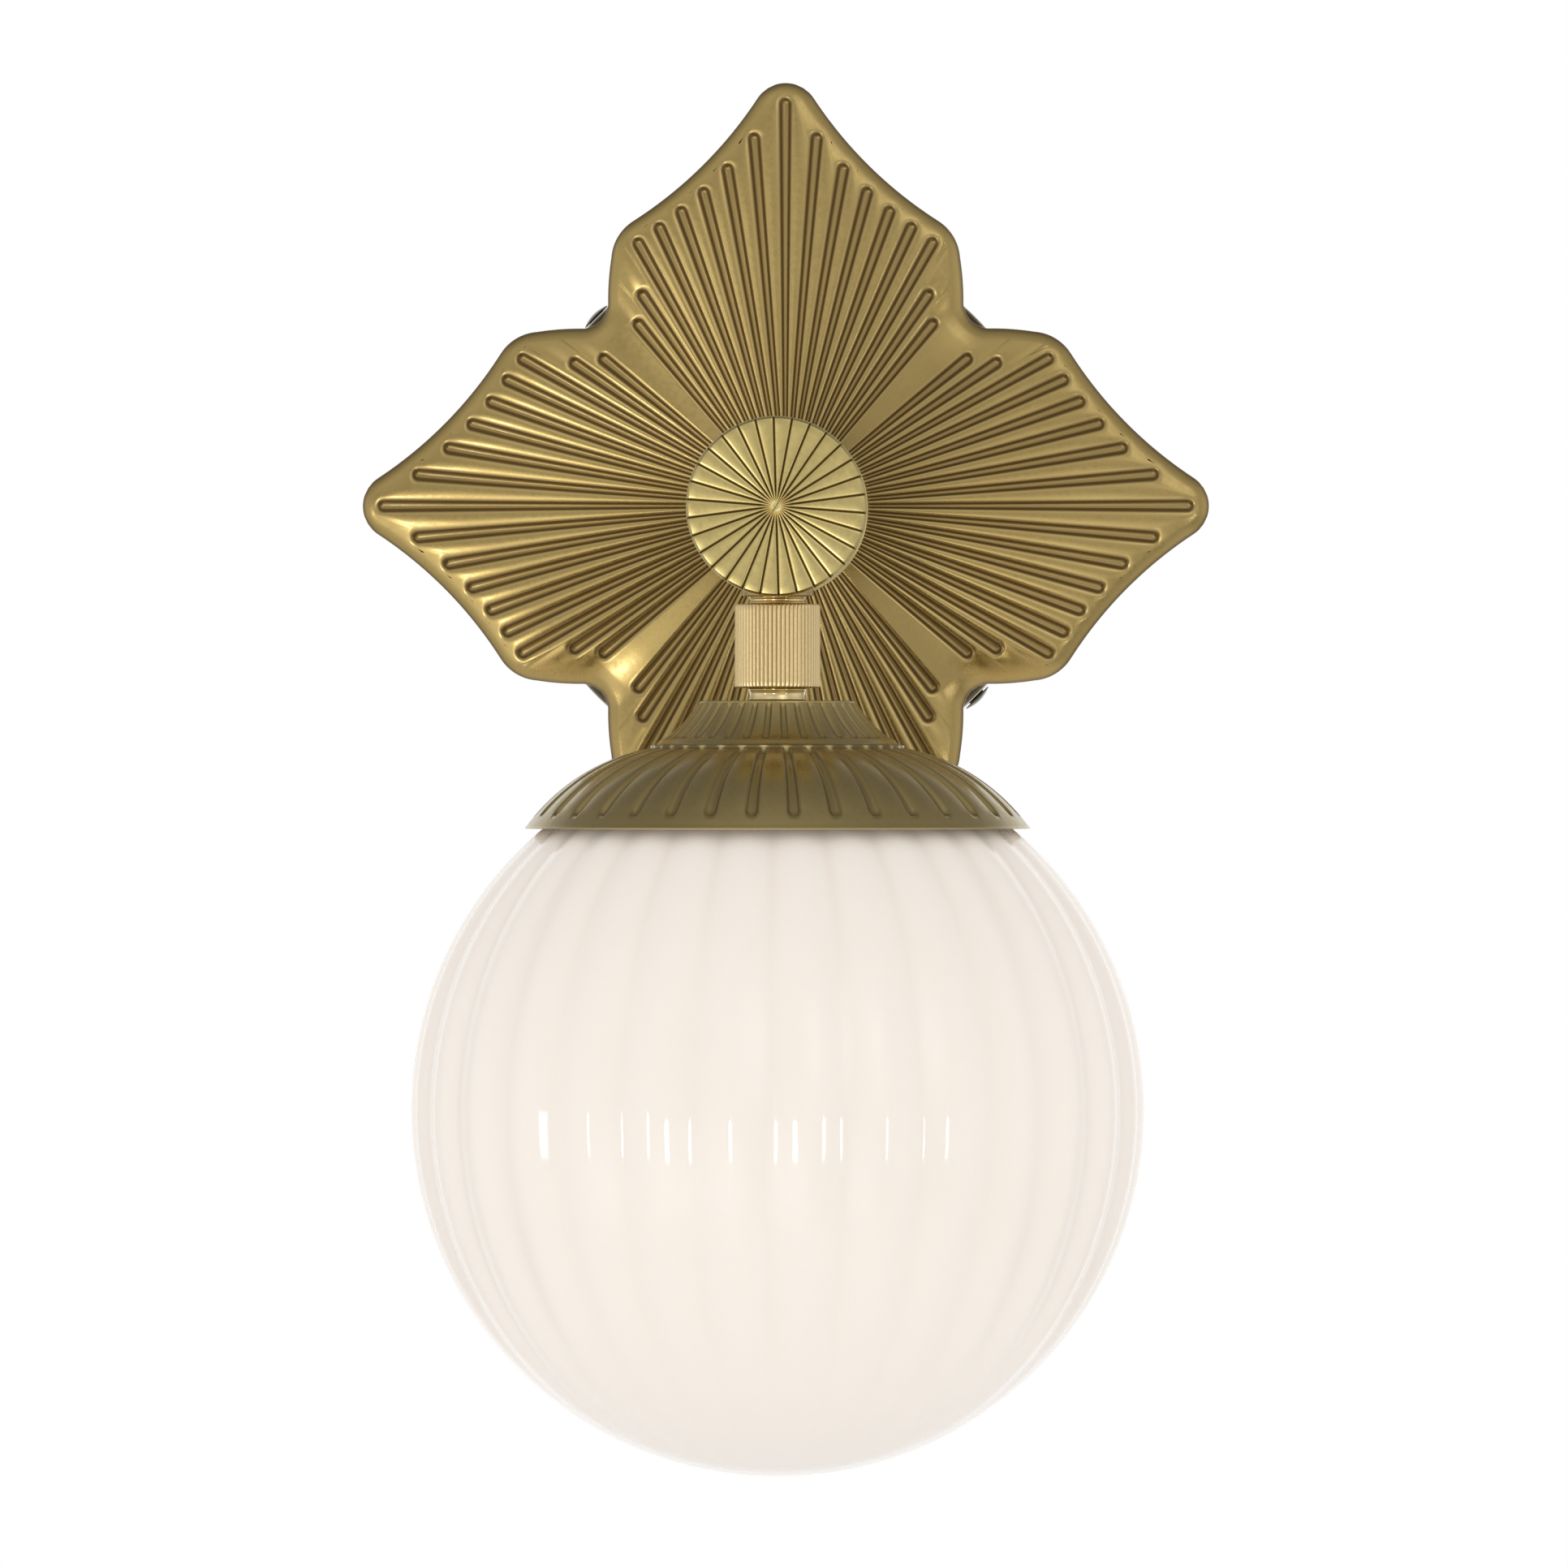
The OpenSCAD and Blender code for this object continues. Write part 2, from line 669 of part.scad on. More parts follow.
// A round channel along an arc of the half section: radius w, its middle on the circle of radius r
// about [cx, cy], from one angle to another
module arc_flute(cx, cy, r, from, to, w) {
    rotate([90, 0, 0]) translate([cx, cy, 0]) rotate([0, 0, from])
        rotate_extrude(angle = to - from) translate([r, 0]) circle(r = w);
}
module fitter_cap() {
    dome_from = acos((rim_r - cap_border - dome_x) / dome_r);
    dome_to = acos((ridge_r + 1.2 - dome_x) / dome_r);
    flare_from = 180 + flare_tilt() + 3;
    flare_to = 360 - acos((ridge_r - 0.6 - flare_x) / flare_r);
    color(dark_brass) on_stem(rim_z) difference() {
        rotate_extrude() cap_section(0, 0);
        rotate_extrude() cap_section(sheet_t, -past);
        cylinder(r = nipple_r + seat_gap, h = ridge_h + tier_h + past);
        for (k = [0:cap_flutes - 1]) rotate([0, 0, 360 * (k + 0.5) / cap_flutes]) {
            arc_flute(dome_x, dome_y(), dome_r + dome_flute_r - cap_flute_d, dome_from, dome_to,
                dome_flute_r);
            arc_flute(flare_x, flare_y, flare_r - flare_flute_r + cap_flute_d, flare_from, flare_to,
                flare_flute_r);
        }
    }
}

module cap_washer() {
    color("silver") on_stem(cap_top - sheet_t - washer_t)
        ring(cap_washer_r, nipple_r + seat_gap, washer_t);
}
module cap_locknut() {
    color("silver") on_stem(cap_nut_low) hex_nut(nipple_r + seat_gap, nut_h);
}
// Bayonet ring under the cap: a wall welded to the dome, three tabs and a stop beside each
module glass_ring() {
    tab_in_r = neck_r + 2 * swing_gap;
    weld = ring_t / 2;
    stop_at = 1.8;
    stop_span = 2.4;
    color(bright_steel) on_stem() difference() {
        union() {
            translate([0, 0, tab_low]) ring(ring_out_r, ring_in_r, cap_in_z(ring_in_r) - tab_low);
            for (k = [0:2]) rotate([0, 0, 120 * k]) {
                translate([0, 0, tab_low])
                    sector(tab_in_r, ring_in_r + weld, tab_t, lug_span);
                rotate([0, 0, lug_span / 2 + stop_at]) translate([0, 0, tab_low])
                    sector(tab_in_r, ring_in_r + weld, lug_top - tab_low, stop_span);
            }
        }
        cap_void();
    }
}
// The space outside the cap's inner face, less a thin seat
module cap_void() {
    translate([0, 0, rim_z]) rotate_extrude() difference() {
        translate([dome_x, 0]) square([rim_r - dome_x + 4, ridge_h + 4]);
        translate([dome_x, dome_y()]) circle(r = dome_in_r - seat_gap, $fn = 360);
    }
}
module neck_gasket() {
    low = neck_top + swing_gap;
    taller = 4;
    color("dimgray") on_stem() difference() {
        translate([0, 0, low]) ring(neck_r - 0.4, neck_in_r + 0.2, taller);
        cap_void();
    }
}

// Closed shape turned from a list of [radius, height, ribbed], pole to pole, top first
function lathe_points(path, cols) = [
    for (i = [1:len(path) - 2]) for (j = [0:cols - 1]) let(
        a = 360 * j / cols,
        dip = path[i][2] * lobe_d / globe_r * (1 - abs(cos(a * lobes / 2)))
    ) [path[i][0] * (1 - dip) * cos(a), path[i][0] * (1 - dip) * sin(a), path[i][1]]
];
module lathe(path, cols) {
    rings = len(path) - 2;
    top = rings * cols;
    points = concat(lathe_points(path, cols), [[0, 0, path[0][1]], [0, 0, last(path)[1]]]);
    faces = concat(
        [for (j = [0:cols - 1]) [top, (j + 1) % cols, j]],
        [for (i = [0:rings - 2]) for (j = [0:cols - 1]) let(k = (j + 1) % cols)
            for (t = [0, 1]) t == 0
                ? [i * cols + j, i * cols + k, (i + 1) * cols + j]
                : [i * cols + k, (i + 1) * cols + k, (i + 1) * cols + j]],
        [for (j = [0:cols - 1]) let(k = (j + 1) % cols)
            [(rings - 1) * cols + j, (rings - 1) * cols + k, top + 1]]
    );
    polyhedron(points = points, faces = faces);
}
module globe() {
    rows = 16;
    start = asin((shoulder_z - globe_z) / globe_r);
    outer = concat(
        [[0, neck_top - globe_z, 0], [neck_r, neck_top - globe_z, 0], [neck_r, neck_low - globe_z, 0]],
        [for (i = [0:rows - 1]) let(a = start - (start + 90) * i / rows)
            [globe_r * cos(a), globe_r * sin(a), 1]],
        [[0, -globe_r, 0]]
    );
    inner_r = globe_r - glass_t;
    ceiling = shoulder_z - glass_t - globe_z;
    color(opal_glass) on_stem(globe_z) difference() {
        union() {
            lathe(outer, 4 * lobes);
            for (k = [0:2]) rotate([0, 0, 120 * k]) translate([0, 0, lug_low - globe_z])
                sector(neck_r - 1, lug_out, lug_h, lug_span);
        }
        intersection() {
            sphere(r = inner_r, $fn = 300);
            translate([0, 0, ceiling - 2 * globe_r]) cylinder(r = globe_r, h = 2 * globe_r);
        }
        cylinder(r = neck_in_r, h = globe_r);
    }
}

module holder_cap() {
    neck_w = nipple_r + 4;
    taper = 7;
    wall = 1.6;
    color("dimgray") on_stem(holder_top) rotate_extrude() polygon([
        [nipple_r + seat_gap, 0], [neck_w, 0], [holder_r, -taper], [holder_r, -holder_cap_l],
        [holder_r - wall, -holder_cap_l], [holder_r - wall, -taper - 1],
        [neck_w, -wall - 3.5], [nipple_r + seat_gap, -wall - 3.5]
    ]);
}
module holder_body() {
    color("white") on_stem(holder_low) difference() {
        cylinder(r = holder_r, h = holder_l);
        translate([0, 0, -past])
            cylinder(r = shell_in_r + shell_t + seat_gap, h = holder_l - floor_t + past);
        cylinder(r = rivet_r + 2 * seat_gap, h = holder_l + past);
        for (s = [-1, 1]) translate([s * terminal_x, 0, holder_l - terminal_deep - swing_gap])
            cylinder(r = terminal_r + seat_gap, h = terminal_deep + swing_gap + past);
    }
}
module screw_shell() {
    low = 2;
    shell_h = holder_l - floor_t - low;
    roof = 1;
    color("goldenrod") on_stem(holder_low + low) difference() {
        cylinder(r = shell_in_r + shell_t, h = shell_h);
        translate([0, 0, -past]) cylinder(r = shell_in_r, h = shell_h + past - roof);
        cylinder(r = contact_pad_r + 2, h = shell_h + past);
    }
}
module centre_contact() {
    stud = contact_drop - contact_pad_t;
    color("goldenrod") on_stem(contact_low) {
        cylinder(r = contact_r, h = stud);
        translate([0, 0, stud]) cylinder(r = contact_pad_r, h = contact_pad_t);
        translate([0, 0, contact_drop]) cylinder(r = rivet_r, h = floor_t);
    }
}
module terminal_screws() {
    color("silver") on_stem(holder_seat) for (s = [-1, 1]) translate([s * terminal_x, 0, 0]) {
        translate([0, 0, -terminal_deep]) cylinder(r = terminal_r, h = terminal_deep);
        cylinder(r = 2 * terminal_r, h = terminal_h);
    }
}

module bulb_glass() {
    wall = 0.8;
    neck = base_r;
    // the shoulder is a hollow arc that runs tangent from the neck into the round of the bulb
    up = base_low - bulb_z - 1;
    shoulder = (up * up - bulb_r * bulb_r + neck * neck) / (2 * (bulb_r - neck));
    swing = acos((neck + shoulder) / (bulb_r + shoulder));
    skin = concat(
        [[neck, base_low - bulb_z]],
        [for (i = [0:8]) let(a = 180 + swing * i / 8)
            [neck + shoulder + shoulder * cos(a), up + shoulder * sin(a)]],
        [for (i = [1:16]) let(a = swing - (swing + 90) * i / 16) [bulb_r * cos(a), bulb_r * sin(a)]]
    );
    core = [for (i = [len(skin) - 1:-1:0]) let(
        s = (bulb_r - wall) / bulb_r
    ) i > 9 ? skin[i] * s : [skin[i][0] - wall, skin[i][1]]];
    color("ivory") on_stem(bulb_z) rotate_extrude() polygon(concat(skin, core));
}
module bulb_base() {
    threads = 5;
    thread_r = 1.2;
    pitch = base_l * 0.157;
    first = (base_l - (threads - 1) * pitch) / 2;
    collar_h = 2;
    wall = 0.7;
    color("silver") on_stem(base_low) rotate_extrude() difference() {
        union() {
            square([base_r - wall, base_l]);
            for (i = [0:threads - 1]) translate([base_r - thread_r, first + pitch * i])
                circle(r = thread_r);
            square([base_r, collar_h]);
        }
        translate([-past, -past]) square([base_r - 2 * wall + past, base_l]);
        translate([-2 * base_r, -2 * past]) square([2 * base_r, base_l + 4 * past]);
    }
}
module bulb_tip() {
    glass_h = 2;
    tip_r = 3.4;
    color("dimgray") on_stem(base_top) {
        cylinder(r1 = base_r - 2, r2 = tip_r + 1.6, h = glass_h);
        translate([0, 0, glass_h]) cylinder(r = tip_r, h = bulb_tip_h - glass_h);
    }
}

// A quarter turn of round wire with bend radius b, from its end at the origin: it leaves along +Z
// and ends pointing along +X
module elbow(r, b) {
    translate([b, 0, 0]) rotate([90, 0, 0]) rotate([0, 0, 90])
        rotate_extrude(angle = 90) translate([b, 0]) circle(r = r);
}
// An insulated wire from a connector in the pan, through arm, hub and stem, to a holder terminal.
// s is 1 on the right and -1 on the left
module fixture_wire(s) {
    drop = 3;
    bend_z = holder_seat + terminal_h + drop;
    hub_turn = reach - wire_bend;
    pan_turn = wire_z + wire_back_bend;
    mirror([s < 0 ? 1 : 0, 0, 0]) {
        // in the pan: from the connector to the nipple's mouth
        translate([wire_x + wire_back_bend, -wire_z, arm_z]) rotate([0, 90, 0])
            cylinder(r = wire_r, h = connector_at + mouth_l - wire_x - wire_back_bend);
        translate([wire_x, -pan_turn, arm_z]) rotate([-90, 0, 0]) elbow(wire_r, wire_back_bend);
        // along the arm, down in the hub and down the stem
        translate([wire_x, -pan_turn, arm_z]) rotate([90, 0, 0])
            cylinder(r = wire_r, h = hub_turn - pan_turn);
        translate([wire_x, -reach, arm_z - wire_bend]) rotate([0, 0, 90]) elbow(wire_r, wire_bend);
        translate([wire_x, -reach, bend_z + drop])
            cylinder(r = wire_r, h = arm_z - wire_bend - bend_z - drop);
        // in the holder's cap: out to the terminal and down on it
        translate([wire_x, -reach, bend_z + drop]) mirror([0, 0, 1]) elbow(wire_r, drop);
        translate([wire_x + drop, -reach, bend_z]) rotate([0, 90, 0])
            cylinder(r = wire_r, h = terminal_x - wire_x - 2 * drop);
        translate([terminal_x, -reach, bend_z - drop]) rotate([0, 0, 180]) elbow(wire_r, drop);
    }
}
module live_wire() {
    color("black") fixture_wire(1);
}
module neutral_wire() {
    color("white") fixture_wire(-1);
}
// Bare ground wire from the pan's inner face to the eye under the bracket's green screw
module ground_wire() {
    r = 0.7;
    turn = 3;
    start = 22;
    eye_r = 3.6;
    run_z = bracket_t + r + seat_gap;
    pad_h = 0.8;
    color("peru") off_wall() {
        translate([0, -ground_at, bracket_t]) ring(eye_r, ground_screw_r + seat_gap, ground_eye_t);
        translate([0, -ground_at + eye_r - 0.8, run_z]) rotate([-90, 0, 0])
            cylinder(r = r, h = ground_at - eye_r + 0.8 - start - turn);
        translate([0, -start - turn, run_z + turn]) rotate([0, 90, 0])
            rotate_extrude(angle = 90) translate([turn, 0]) circle(r = r);
        translate([0, -start, run_z + turn]) cylinder(r = r, h = pan_front - run_z - turn - pad_h);
        translate([0, -start, pan_front - pad_h]) cylinder(r = 2.6, h = pad_h);
    }
}
module wire_connectors() {
    taper = 1.6;
    mouth_r = 2.6;
    color("firebrick") for (s = [0, 1]) mirror([s, 0, 0])
        translate([connector_at, -wire_z, arm_z]) rotate([0, 90, 0]) difference() {
            cylinder(r1 = connector_r, r2 = connector_r - taper, h = connector_l);
            translate([0, 0, -past]) cylinder(r = mouth_r, h = mouth_l + past);
        }
}
// Plastic bushings in the ends of the two nipples, so that no wire chafes
module wire_bushings() {
    sleeve = 4;
    bore = wire_x + wire_r + 0.25;
    color("ivory") {
        on_arm(arm_nipple_back - bush_lip) {
            ring(nipple_r, bore, bush_lip);
            translate([0, 0, bush_lip]) ring(nipple_bore_r - seat_gap, bore, sleeve);
        }
        on_stem(stem_low - bush_lip) {
            ring(nipple_r, bore, bush_lip);
            translate([0, 0, bush_lip]) ring(nipple_bore_r - seat_gap, bore, sleeve);
        }
    }
}

mounting_bracket();
ground_screw();
canopy_pan();
side_screw_upper();
side_screw_lower();
backplate();
plate_screws();
arm_flange();
arm_tube();
arm_end_bush();
arm_nipple();
arm_lock_washer();
arm_locknut();
hub_body();
hub_disc();
hub_rear_ring();
hub_set_screw();
upper_collar();
ferrule();
lower_collar();
stem_nipple();
fitter_cap();
cap_washer();
cap_locknut();
glass_ring();
neck_gasket();
globe();
holder_cap();
holder_body();
screw_shell();
centre_contact();
terminal_screws();
bulb_glass();
bulb_base();
bulb_tip();
live_wire();
neutral_wire();
ground_wire();
wire_connectors();
wire_bushings();
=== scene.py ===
# %% [markdown]
# A wall light in aged brass with a ribbed opal globe. The construction is already modelled: it is
# loaded here as a fixed frame, and this lesson gives it its looks. The fluted plate, the grooved
# disc, the ferrule, the cap and the globe are modelled again with finer surfaces, the turned pieces
# get soft edges, and every piece gets a finish made of nodes.

# %% Load the frame
import json
import math

import bpy
import numpy as np
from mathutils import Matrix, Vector

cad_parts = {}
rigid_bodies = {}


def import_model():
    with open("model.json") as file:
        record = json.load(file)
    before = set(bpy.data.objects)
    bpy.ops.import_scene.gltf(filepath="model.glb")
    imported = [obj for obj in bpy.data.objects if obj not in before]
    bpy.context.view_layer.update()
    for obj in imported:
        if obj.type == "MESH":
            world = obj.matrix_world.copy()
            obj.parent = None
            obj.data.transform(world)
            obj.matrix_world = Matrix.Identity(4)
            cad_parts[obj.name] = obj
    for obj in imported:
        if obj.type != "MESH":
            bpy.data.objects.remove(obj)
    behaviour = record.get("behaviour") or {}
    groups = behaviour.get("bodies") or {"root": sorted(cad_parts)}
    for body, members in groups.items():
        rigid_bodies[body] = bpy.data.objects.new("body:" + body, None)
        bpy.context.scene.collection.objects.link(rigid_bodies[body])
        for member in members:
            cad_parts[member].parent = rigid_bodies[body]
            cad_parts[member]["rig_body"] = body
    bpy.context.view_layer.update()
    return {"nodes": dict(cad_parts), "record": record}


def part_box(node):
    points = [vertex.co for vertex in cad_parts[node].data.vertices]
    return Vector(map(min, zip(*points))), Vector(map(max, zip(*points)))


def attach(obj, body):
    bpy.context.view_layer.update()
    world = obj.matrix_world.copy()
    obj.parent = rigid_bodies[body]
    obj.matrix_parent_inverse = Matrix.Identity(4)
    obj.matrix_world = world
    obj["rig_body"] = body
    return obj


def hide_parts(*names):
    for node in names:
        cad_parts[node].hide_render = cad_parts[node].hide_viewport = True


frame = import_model()
NODES = frame["nodes"]

# %% [markdown]
# Lengths are written in millimetres and multiplied by MM, because Blender's unit is the metre.
# The places of the pieces come from the frame: the stem is an upright axis through the ferrule,
# and the arm a level axis through its tube.

# %% Units and axes
MM = 0.001
FERRULE_LOW, FERRULE_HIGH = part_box("ferrule")
TUBE_LOW, TUBE_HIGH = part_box("arm_tube")
PLATE_LOW, PLATE_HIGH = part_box("backplate")
CAP_LOW, CAP_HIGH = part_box("fitter_cap")
GLOBE_LOW, GLOBE_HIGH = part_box("globe")
STEM = Vector((0, (FERRULE_LOW.y + FERRULE_HIGH.y) / 2, 0))
ARM = Vector((0, 0, (TUBE_LOW.z + TUBE_HIGH.z) / 2))
GLOBE_R = (GLOBE_HIGH.x - GLOBE_LOW.x) / 2
GLOBE_Z = GLOBE_LOW.z + GLOBE_R
print("stem at y", round(STEM.y, 4), "arm at z", round(ARM.z, 4), "globe at z", round(GLOBE_Z, 4))

# %% [markdown]
# The camera stands level, 3 m in front of the globe and a little to its right, as in the
# photograph. A long lens keeps the plate and the globe at nearly the same scale.

# %% Camera
CAMERA_AWAY = 3.0
CAMERA_TURN = math.radians(1.1)
CAMERA_Z = -59.5 * MM
AIM_RIGHT = 1.35 * MM
LENS = 331.2


def add_camera():
    aim = Vector((AIM_RIGHT, STEM.y, CAMERA_Z))
    away = Vector((math.sin(CAMERA_TURN), -math.cos(CAMERA_TURN), 0)) * CAMERA_AWAY
    data = bpy.data.cameras.new("camera")
    data.lens = LENS
    data.sensor_width = 36.0
    data.clip_end = 50.0
    camera = bpy.data.objects.new("camera", data)
    bpy.context.scene.collection.objects.link(camera)
    camera.location = aim + away
    camera.rotation_euler = (-away).to_track_quat("-Z", "Y").to_euler()
    bpy.context.scene.camera = camera


add_camera()

# %% [markdown]
# Light and finishes are trees of nodes. One function adds a node with its options and inputs, and
# short ones name the nodes that come up again and again.

# %% Nodes
def feed(tree, value, socket):
    """Gives a socket what it needs: another node's output, a colour, or a number."""
    if isinstance(value, bpy.types.NodeSocket):
        tree.links.new(value, socket)
    elif isinstance(value, tuple):
        socket.default_value = (*value, 1)
    else:
        socket.default_value = value


def add_node(tree, kind, inputs=None, **options):
    """A node. inputs pairs a socket's name or number with what it is fed."""
    node = tree.nodes.new("ShaderNode" + kind)
    for name, option in options.items():
        setattr(node, name, option)
    for key, value in (inputs or {}).items():
        feed(tree, value, node.inputs[key])
    return node


def math_node(tree, operation, a, b):
    return add_node(tree, "Math", {0: a, 1: b}, operation=operation).outputs[0]


def blend(tree, factor, a, b, kind="RGBA"):
    """A colour between a and b, or a number between them if the kind is FLOAT."""
    mix = add_node(tree, "Mix", {"Factor": factor, "A": a, "B": b}, data_type=kind)
    return mix.outputs["Result"]


def value_range(tree, value, low, high, to_low=0.0, to_high=1.0, shape="LINEAR"):
    """Stretches the range from low to high to the range from to_low to to_high."""
    ends = {"From Min": low, "From Max": high, "To Min": to_low, "To Max": to_high}
    node = add_node(tree, "MapRange", {"Value": value, **ends}, interpolation_type=shape)
    return node.outputs["Result"]


def object_place(tree):
    """Where a point lies in the piece's own coordinates, which move with the piece."""
    return add_node(tree, "TexCoord").outputs["Object"]


# %% [markdown]
# The studio is a pale room without a seam. Its light is plain, so that a colour renders about as
# it is written, and the object stands out against white. Brass is a mirror, so it also needs
# something to show: what shiny surfaces see is a white tent with a dim opening in front, where the
# camera stands, and a dim top. Behind the object they see the white background.

# %% Studio dome
# each glow: direction to it, how bright it is, and how narrow
MATT_SHADE = 0.48
MATT_GLOWS = [((0, -1, 0), 0.24, 1), ((-1, 0, 0.1), 0.46, 1), ((1, 0, 0.1), 0.54, 1),
              ((0, 1, 0.2), 0.40, 1)]
SHINY_SHADE = 0.22
SHINY_GLOWS = [((-1, -0.15, -0.1), 0.62, 3), ((1, -0.15, 0), 0.58, 3), ((0, -1, 0), 0.14, 12),
               ((0.35, -0.86, 0.37), 1.05, 24), ((-0.45, -0.70, 0.55), 0.35, 14),
               ((0, -0.64, 0.77), 0.36, 5), ((-0.33, -0.86, -0.39), 0.85, 14),
               ((0.05, -0.90, -0.43), 0.6, 20), ((-0.60, -0.68, -0.42), 0.4, 16)]
# shiny surfaces see the white background fade in between these two shares of straight back
WHITE_FROM, WHITE_FULL = 0.6, 0.95


def add_glows(tree, way, level, glows):
    """Adds lights to a level. Each is strongest in its own direction and fades away from it."""
    for towards, amount, narrow in glows:
        facing = add_node(tree, "VectorMath", {0: way, 1: Vector(towards).normalized()},
                          operation="DOT_PRODUCT").outputs["Value"]
        beam = math_node(tree, "POWER", math_node(tree, "MAXIMUM", facing, 0.0), narrow)
        level = math_node(tree, "ADD", math_node(tree, "MULTIPLY", beam, amount), level)
    return level


def add_dome():
    world = bpy.data.worlds.new("studio")
    bpy.context.scene.world = world
    world.use_nodes = True
    tree = world.node_tree
    tree.nodes.clear()
    way = add_node(tree, "TexCoord").outputs["Generated"]
    matt = add_glows(tree, way, MATT_SHADE, MATT_GLOWS)
    studio = add_glows(tree, way, SHINY_SHADE, SHINY_GLOWS)
    backwards = add_node(tree, "SeparateXYZ", {0: way}).outputs["Y"]
    behind = value_range(tree, backwards, WHITE_FROM, WHITE_FULL, shape="SMOOTHSTEP")
    ray = add_node(tree, "LightPath").outputs
    shiny = math_node(tree, "MAXIMUM", ray["Is Glossy Ray"], ray["Is Transmission Ray"])
    white = math_node(tree, "MULTIPLY", shiny, behind)
    white = math_node(tree, "MAXIMUM", ray["Is Camera Ray"], white)
    level = blend(tree, white, blend(tree, shiny, matt, studio, "FLOAT"), 1.0, "FLOAT")
    light = add_node(tree, "Background", {"Color": (1, 1, 1), "Strength": level})
    add_node(tree, "OutputWorld", {"Surface": light.outputs[0]})
    print("dome made:", len(MATT_GLOWS), "matt and", len(SHINY_GLOWS), "shiny glows")


add_dome()
bpy.context.scene.view_settings.view_transform = "Standard"

# %% [markdown]
# Soft boxes are rectangles of light. Each is aimed at the middle of the object, and its power is
# small, because the dome already lights everything.

# %% Soft boxes
MIDDLE = Vector((0, -80 * MM, -50 * MM))


def soft_box(name, turn, lift, away, width, height, glow):
    """An area lamp, turn degrees to the right of the front and lift degrees up. Glow is how bright
    it looks in a mirror, next to a white wall."""
    a, e = math.radians(turn), math.radians(lift)
    way = Vector((math.sin(a) * math.cos(e), -math.cos(a) * math.cos(e), math.sin(e)))
    data = bpy.data.lights.new(name, "AREA")
    data.shape = "RECTANGLE"
    data.size = width
    data.size_y = height
    data.energy = glow * math.pi * width * height
    lamp = bpy.data.objects.new(name, data)
    bpy.context.scene.collection.objects.link(lamp)
    lamp.location = MIDDLE + way * away
    lamp.rotation_euler = (-way).to_track_quat("-Z", "Y").to_euler()
    return lamp


soft_box("key", -14, -11, 1.5, 0.12, 0.30, 17)
soft_box("lamp_left", -50, -9, 1.5, 0.11, 0.30, 7)
soft_box("lamp_right", 36, -10, 1.5, 0.10, 0.30, 7)

# %% [markdown]
# The floor lies below the picture. It fades out towards its edge, so that no horizon shows from
# any side, and it only carries the object's soft shadow.

# %% Floor
FLOOR_Z = -0.42
FLOOR_R = 0.75
FLOOR_SOLID, FLOOR_GONE = 0.35 * FLOOR_R, 0.98 * FLOOR_R


def clear_selection():
    """Object mode with nothing selected: an operator acts on all that is selected."""
    if bpy.context.object and bpy.context.object.mode != "OBJECT":
        bpy.ops.object.mode_set(mode="OBJECT")
    bpy.ops.object.select_all(action="DESELECT")


def add_floor():
    clear_selection()
    bpy.ops.mesh.primitive_circle_add(vertices=96, radius=FLOOR_R, fill_type="NGON",
                                      location=(0, STEM.y, FLOOR_Z))
    floor = bpy.context.object
    floor.name = "floor"
    material = bpy.data.materials.new("pale_floor")
    material.use_nodes = True
    tree = material.node_tree
    tree.nodes.clear()
    away = add_node(tree, "VectorMath", {0: object_place(tree)}, operation="LENGTH")
    fade = value_range(tree, away.outputs["Value"], FLOOR_SOLID, FLOOR_GONE, shape="SMOOTHSTEP")
    pale = add_node(tree, "BsdfDiffuse", {"Color": (0.93, 0.93, 0.93)})
    clear = add_node(tree, "BsdfTransparent")
    mix = add_node(tree, "MixShader", {0: fade, 1: pale.outputs[0], 2: clear.outputs[0]})
    add_node(tree, "OutputMaterial", {"Surface": mix.outputs[0]})
    floor.data.materials.append(material)


add_floor()

# %% [markdown]
# A finish is a Principled shader with a few nodes in front of it. Two patterns do most of the
# work: broad clouds of noise, which vary the tone as handled metal does, and fine grain, which
# breaks up the gloss. Both read Object coordinates, so they sit still on the piece.

# %% Helpers for finishes
MATERIALS = {}
# a noise texture seldom leaves this range
NOISE_LOW, NOISE_HIGH = 0.3, 0.7


def new_finish(name, rough, metal=0.0, **constants):
    """A material with a Principled shader. constants are inputs that are the same all over."""
    material = bpy.data.materials.new(name)
    material.use_nodes = True
    tree = material.node_tree
    shader = tree.nodes["Principled BSDF"]
    shader.inputs["Roughness"].default_value = rough
    shader.inputs["Metallic"].default_value = metal
    for key, value in constants.items():
        shader.inputs[key.replace("_", " ")].default_value = value
    MATERIALS[name] = material
    return tree, shader


def object_noise(tree, scale, detail):
    """Noise on the piece, with scale in cells per metre."""
    return add_node(tree, "TexNoise", {"Vector": object_place(tree), "Scale": scale,
                                       "Detail": detail}).outputs["Fac"]


def surface_mark(tree, name):
    """A number that a piece keeps at each of its points, such as how deep in a flute it lies."""
    return add_node(tree, "Attribute", attribute_name=name).outputs["Fac"]


def add_clouds(tree, scale, detail):
    return value_range(tree, object_noise(tree, scale, detail), NOISE_LOW, NOISE_HIGH)


def add_grain(tree, shader, scale, low, high, strength, depth):
    """Fine grain, depth millimetres deep. Gives back a roughness that varies from low to high."""
    fine = object_noise(tree, scale, 2.0)
    relief = add_node(tree, "Bump", {"Strength": strength, "Distance": depth * MM, "Height": fine})
    feed(tree, relief.outputs[0], shader.inputs["Normal"])
    return value_range(tree, fine, NOISE_LOW, NOISE_HIGH, low, high)


# %% [markdown]
# Aged brass was darkened and then rubbed: the tone is left in the hollows and wiped off the edges,
# under a thin clear lacquer. The mark "hollow" says where the dark tone lies, and also paints shade
# on flute walls, creases and edges. The second mark says where the tone is wiped off pale, and also
# paints highlights on lips, ridges and spots. Both marks are zero on all other pieces.

# %% Brass finishes
BRASS_CLOUD, BRASS_GRAIN = 26.0, 900.0
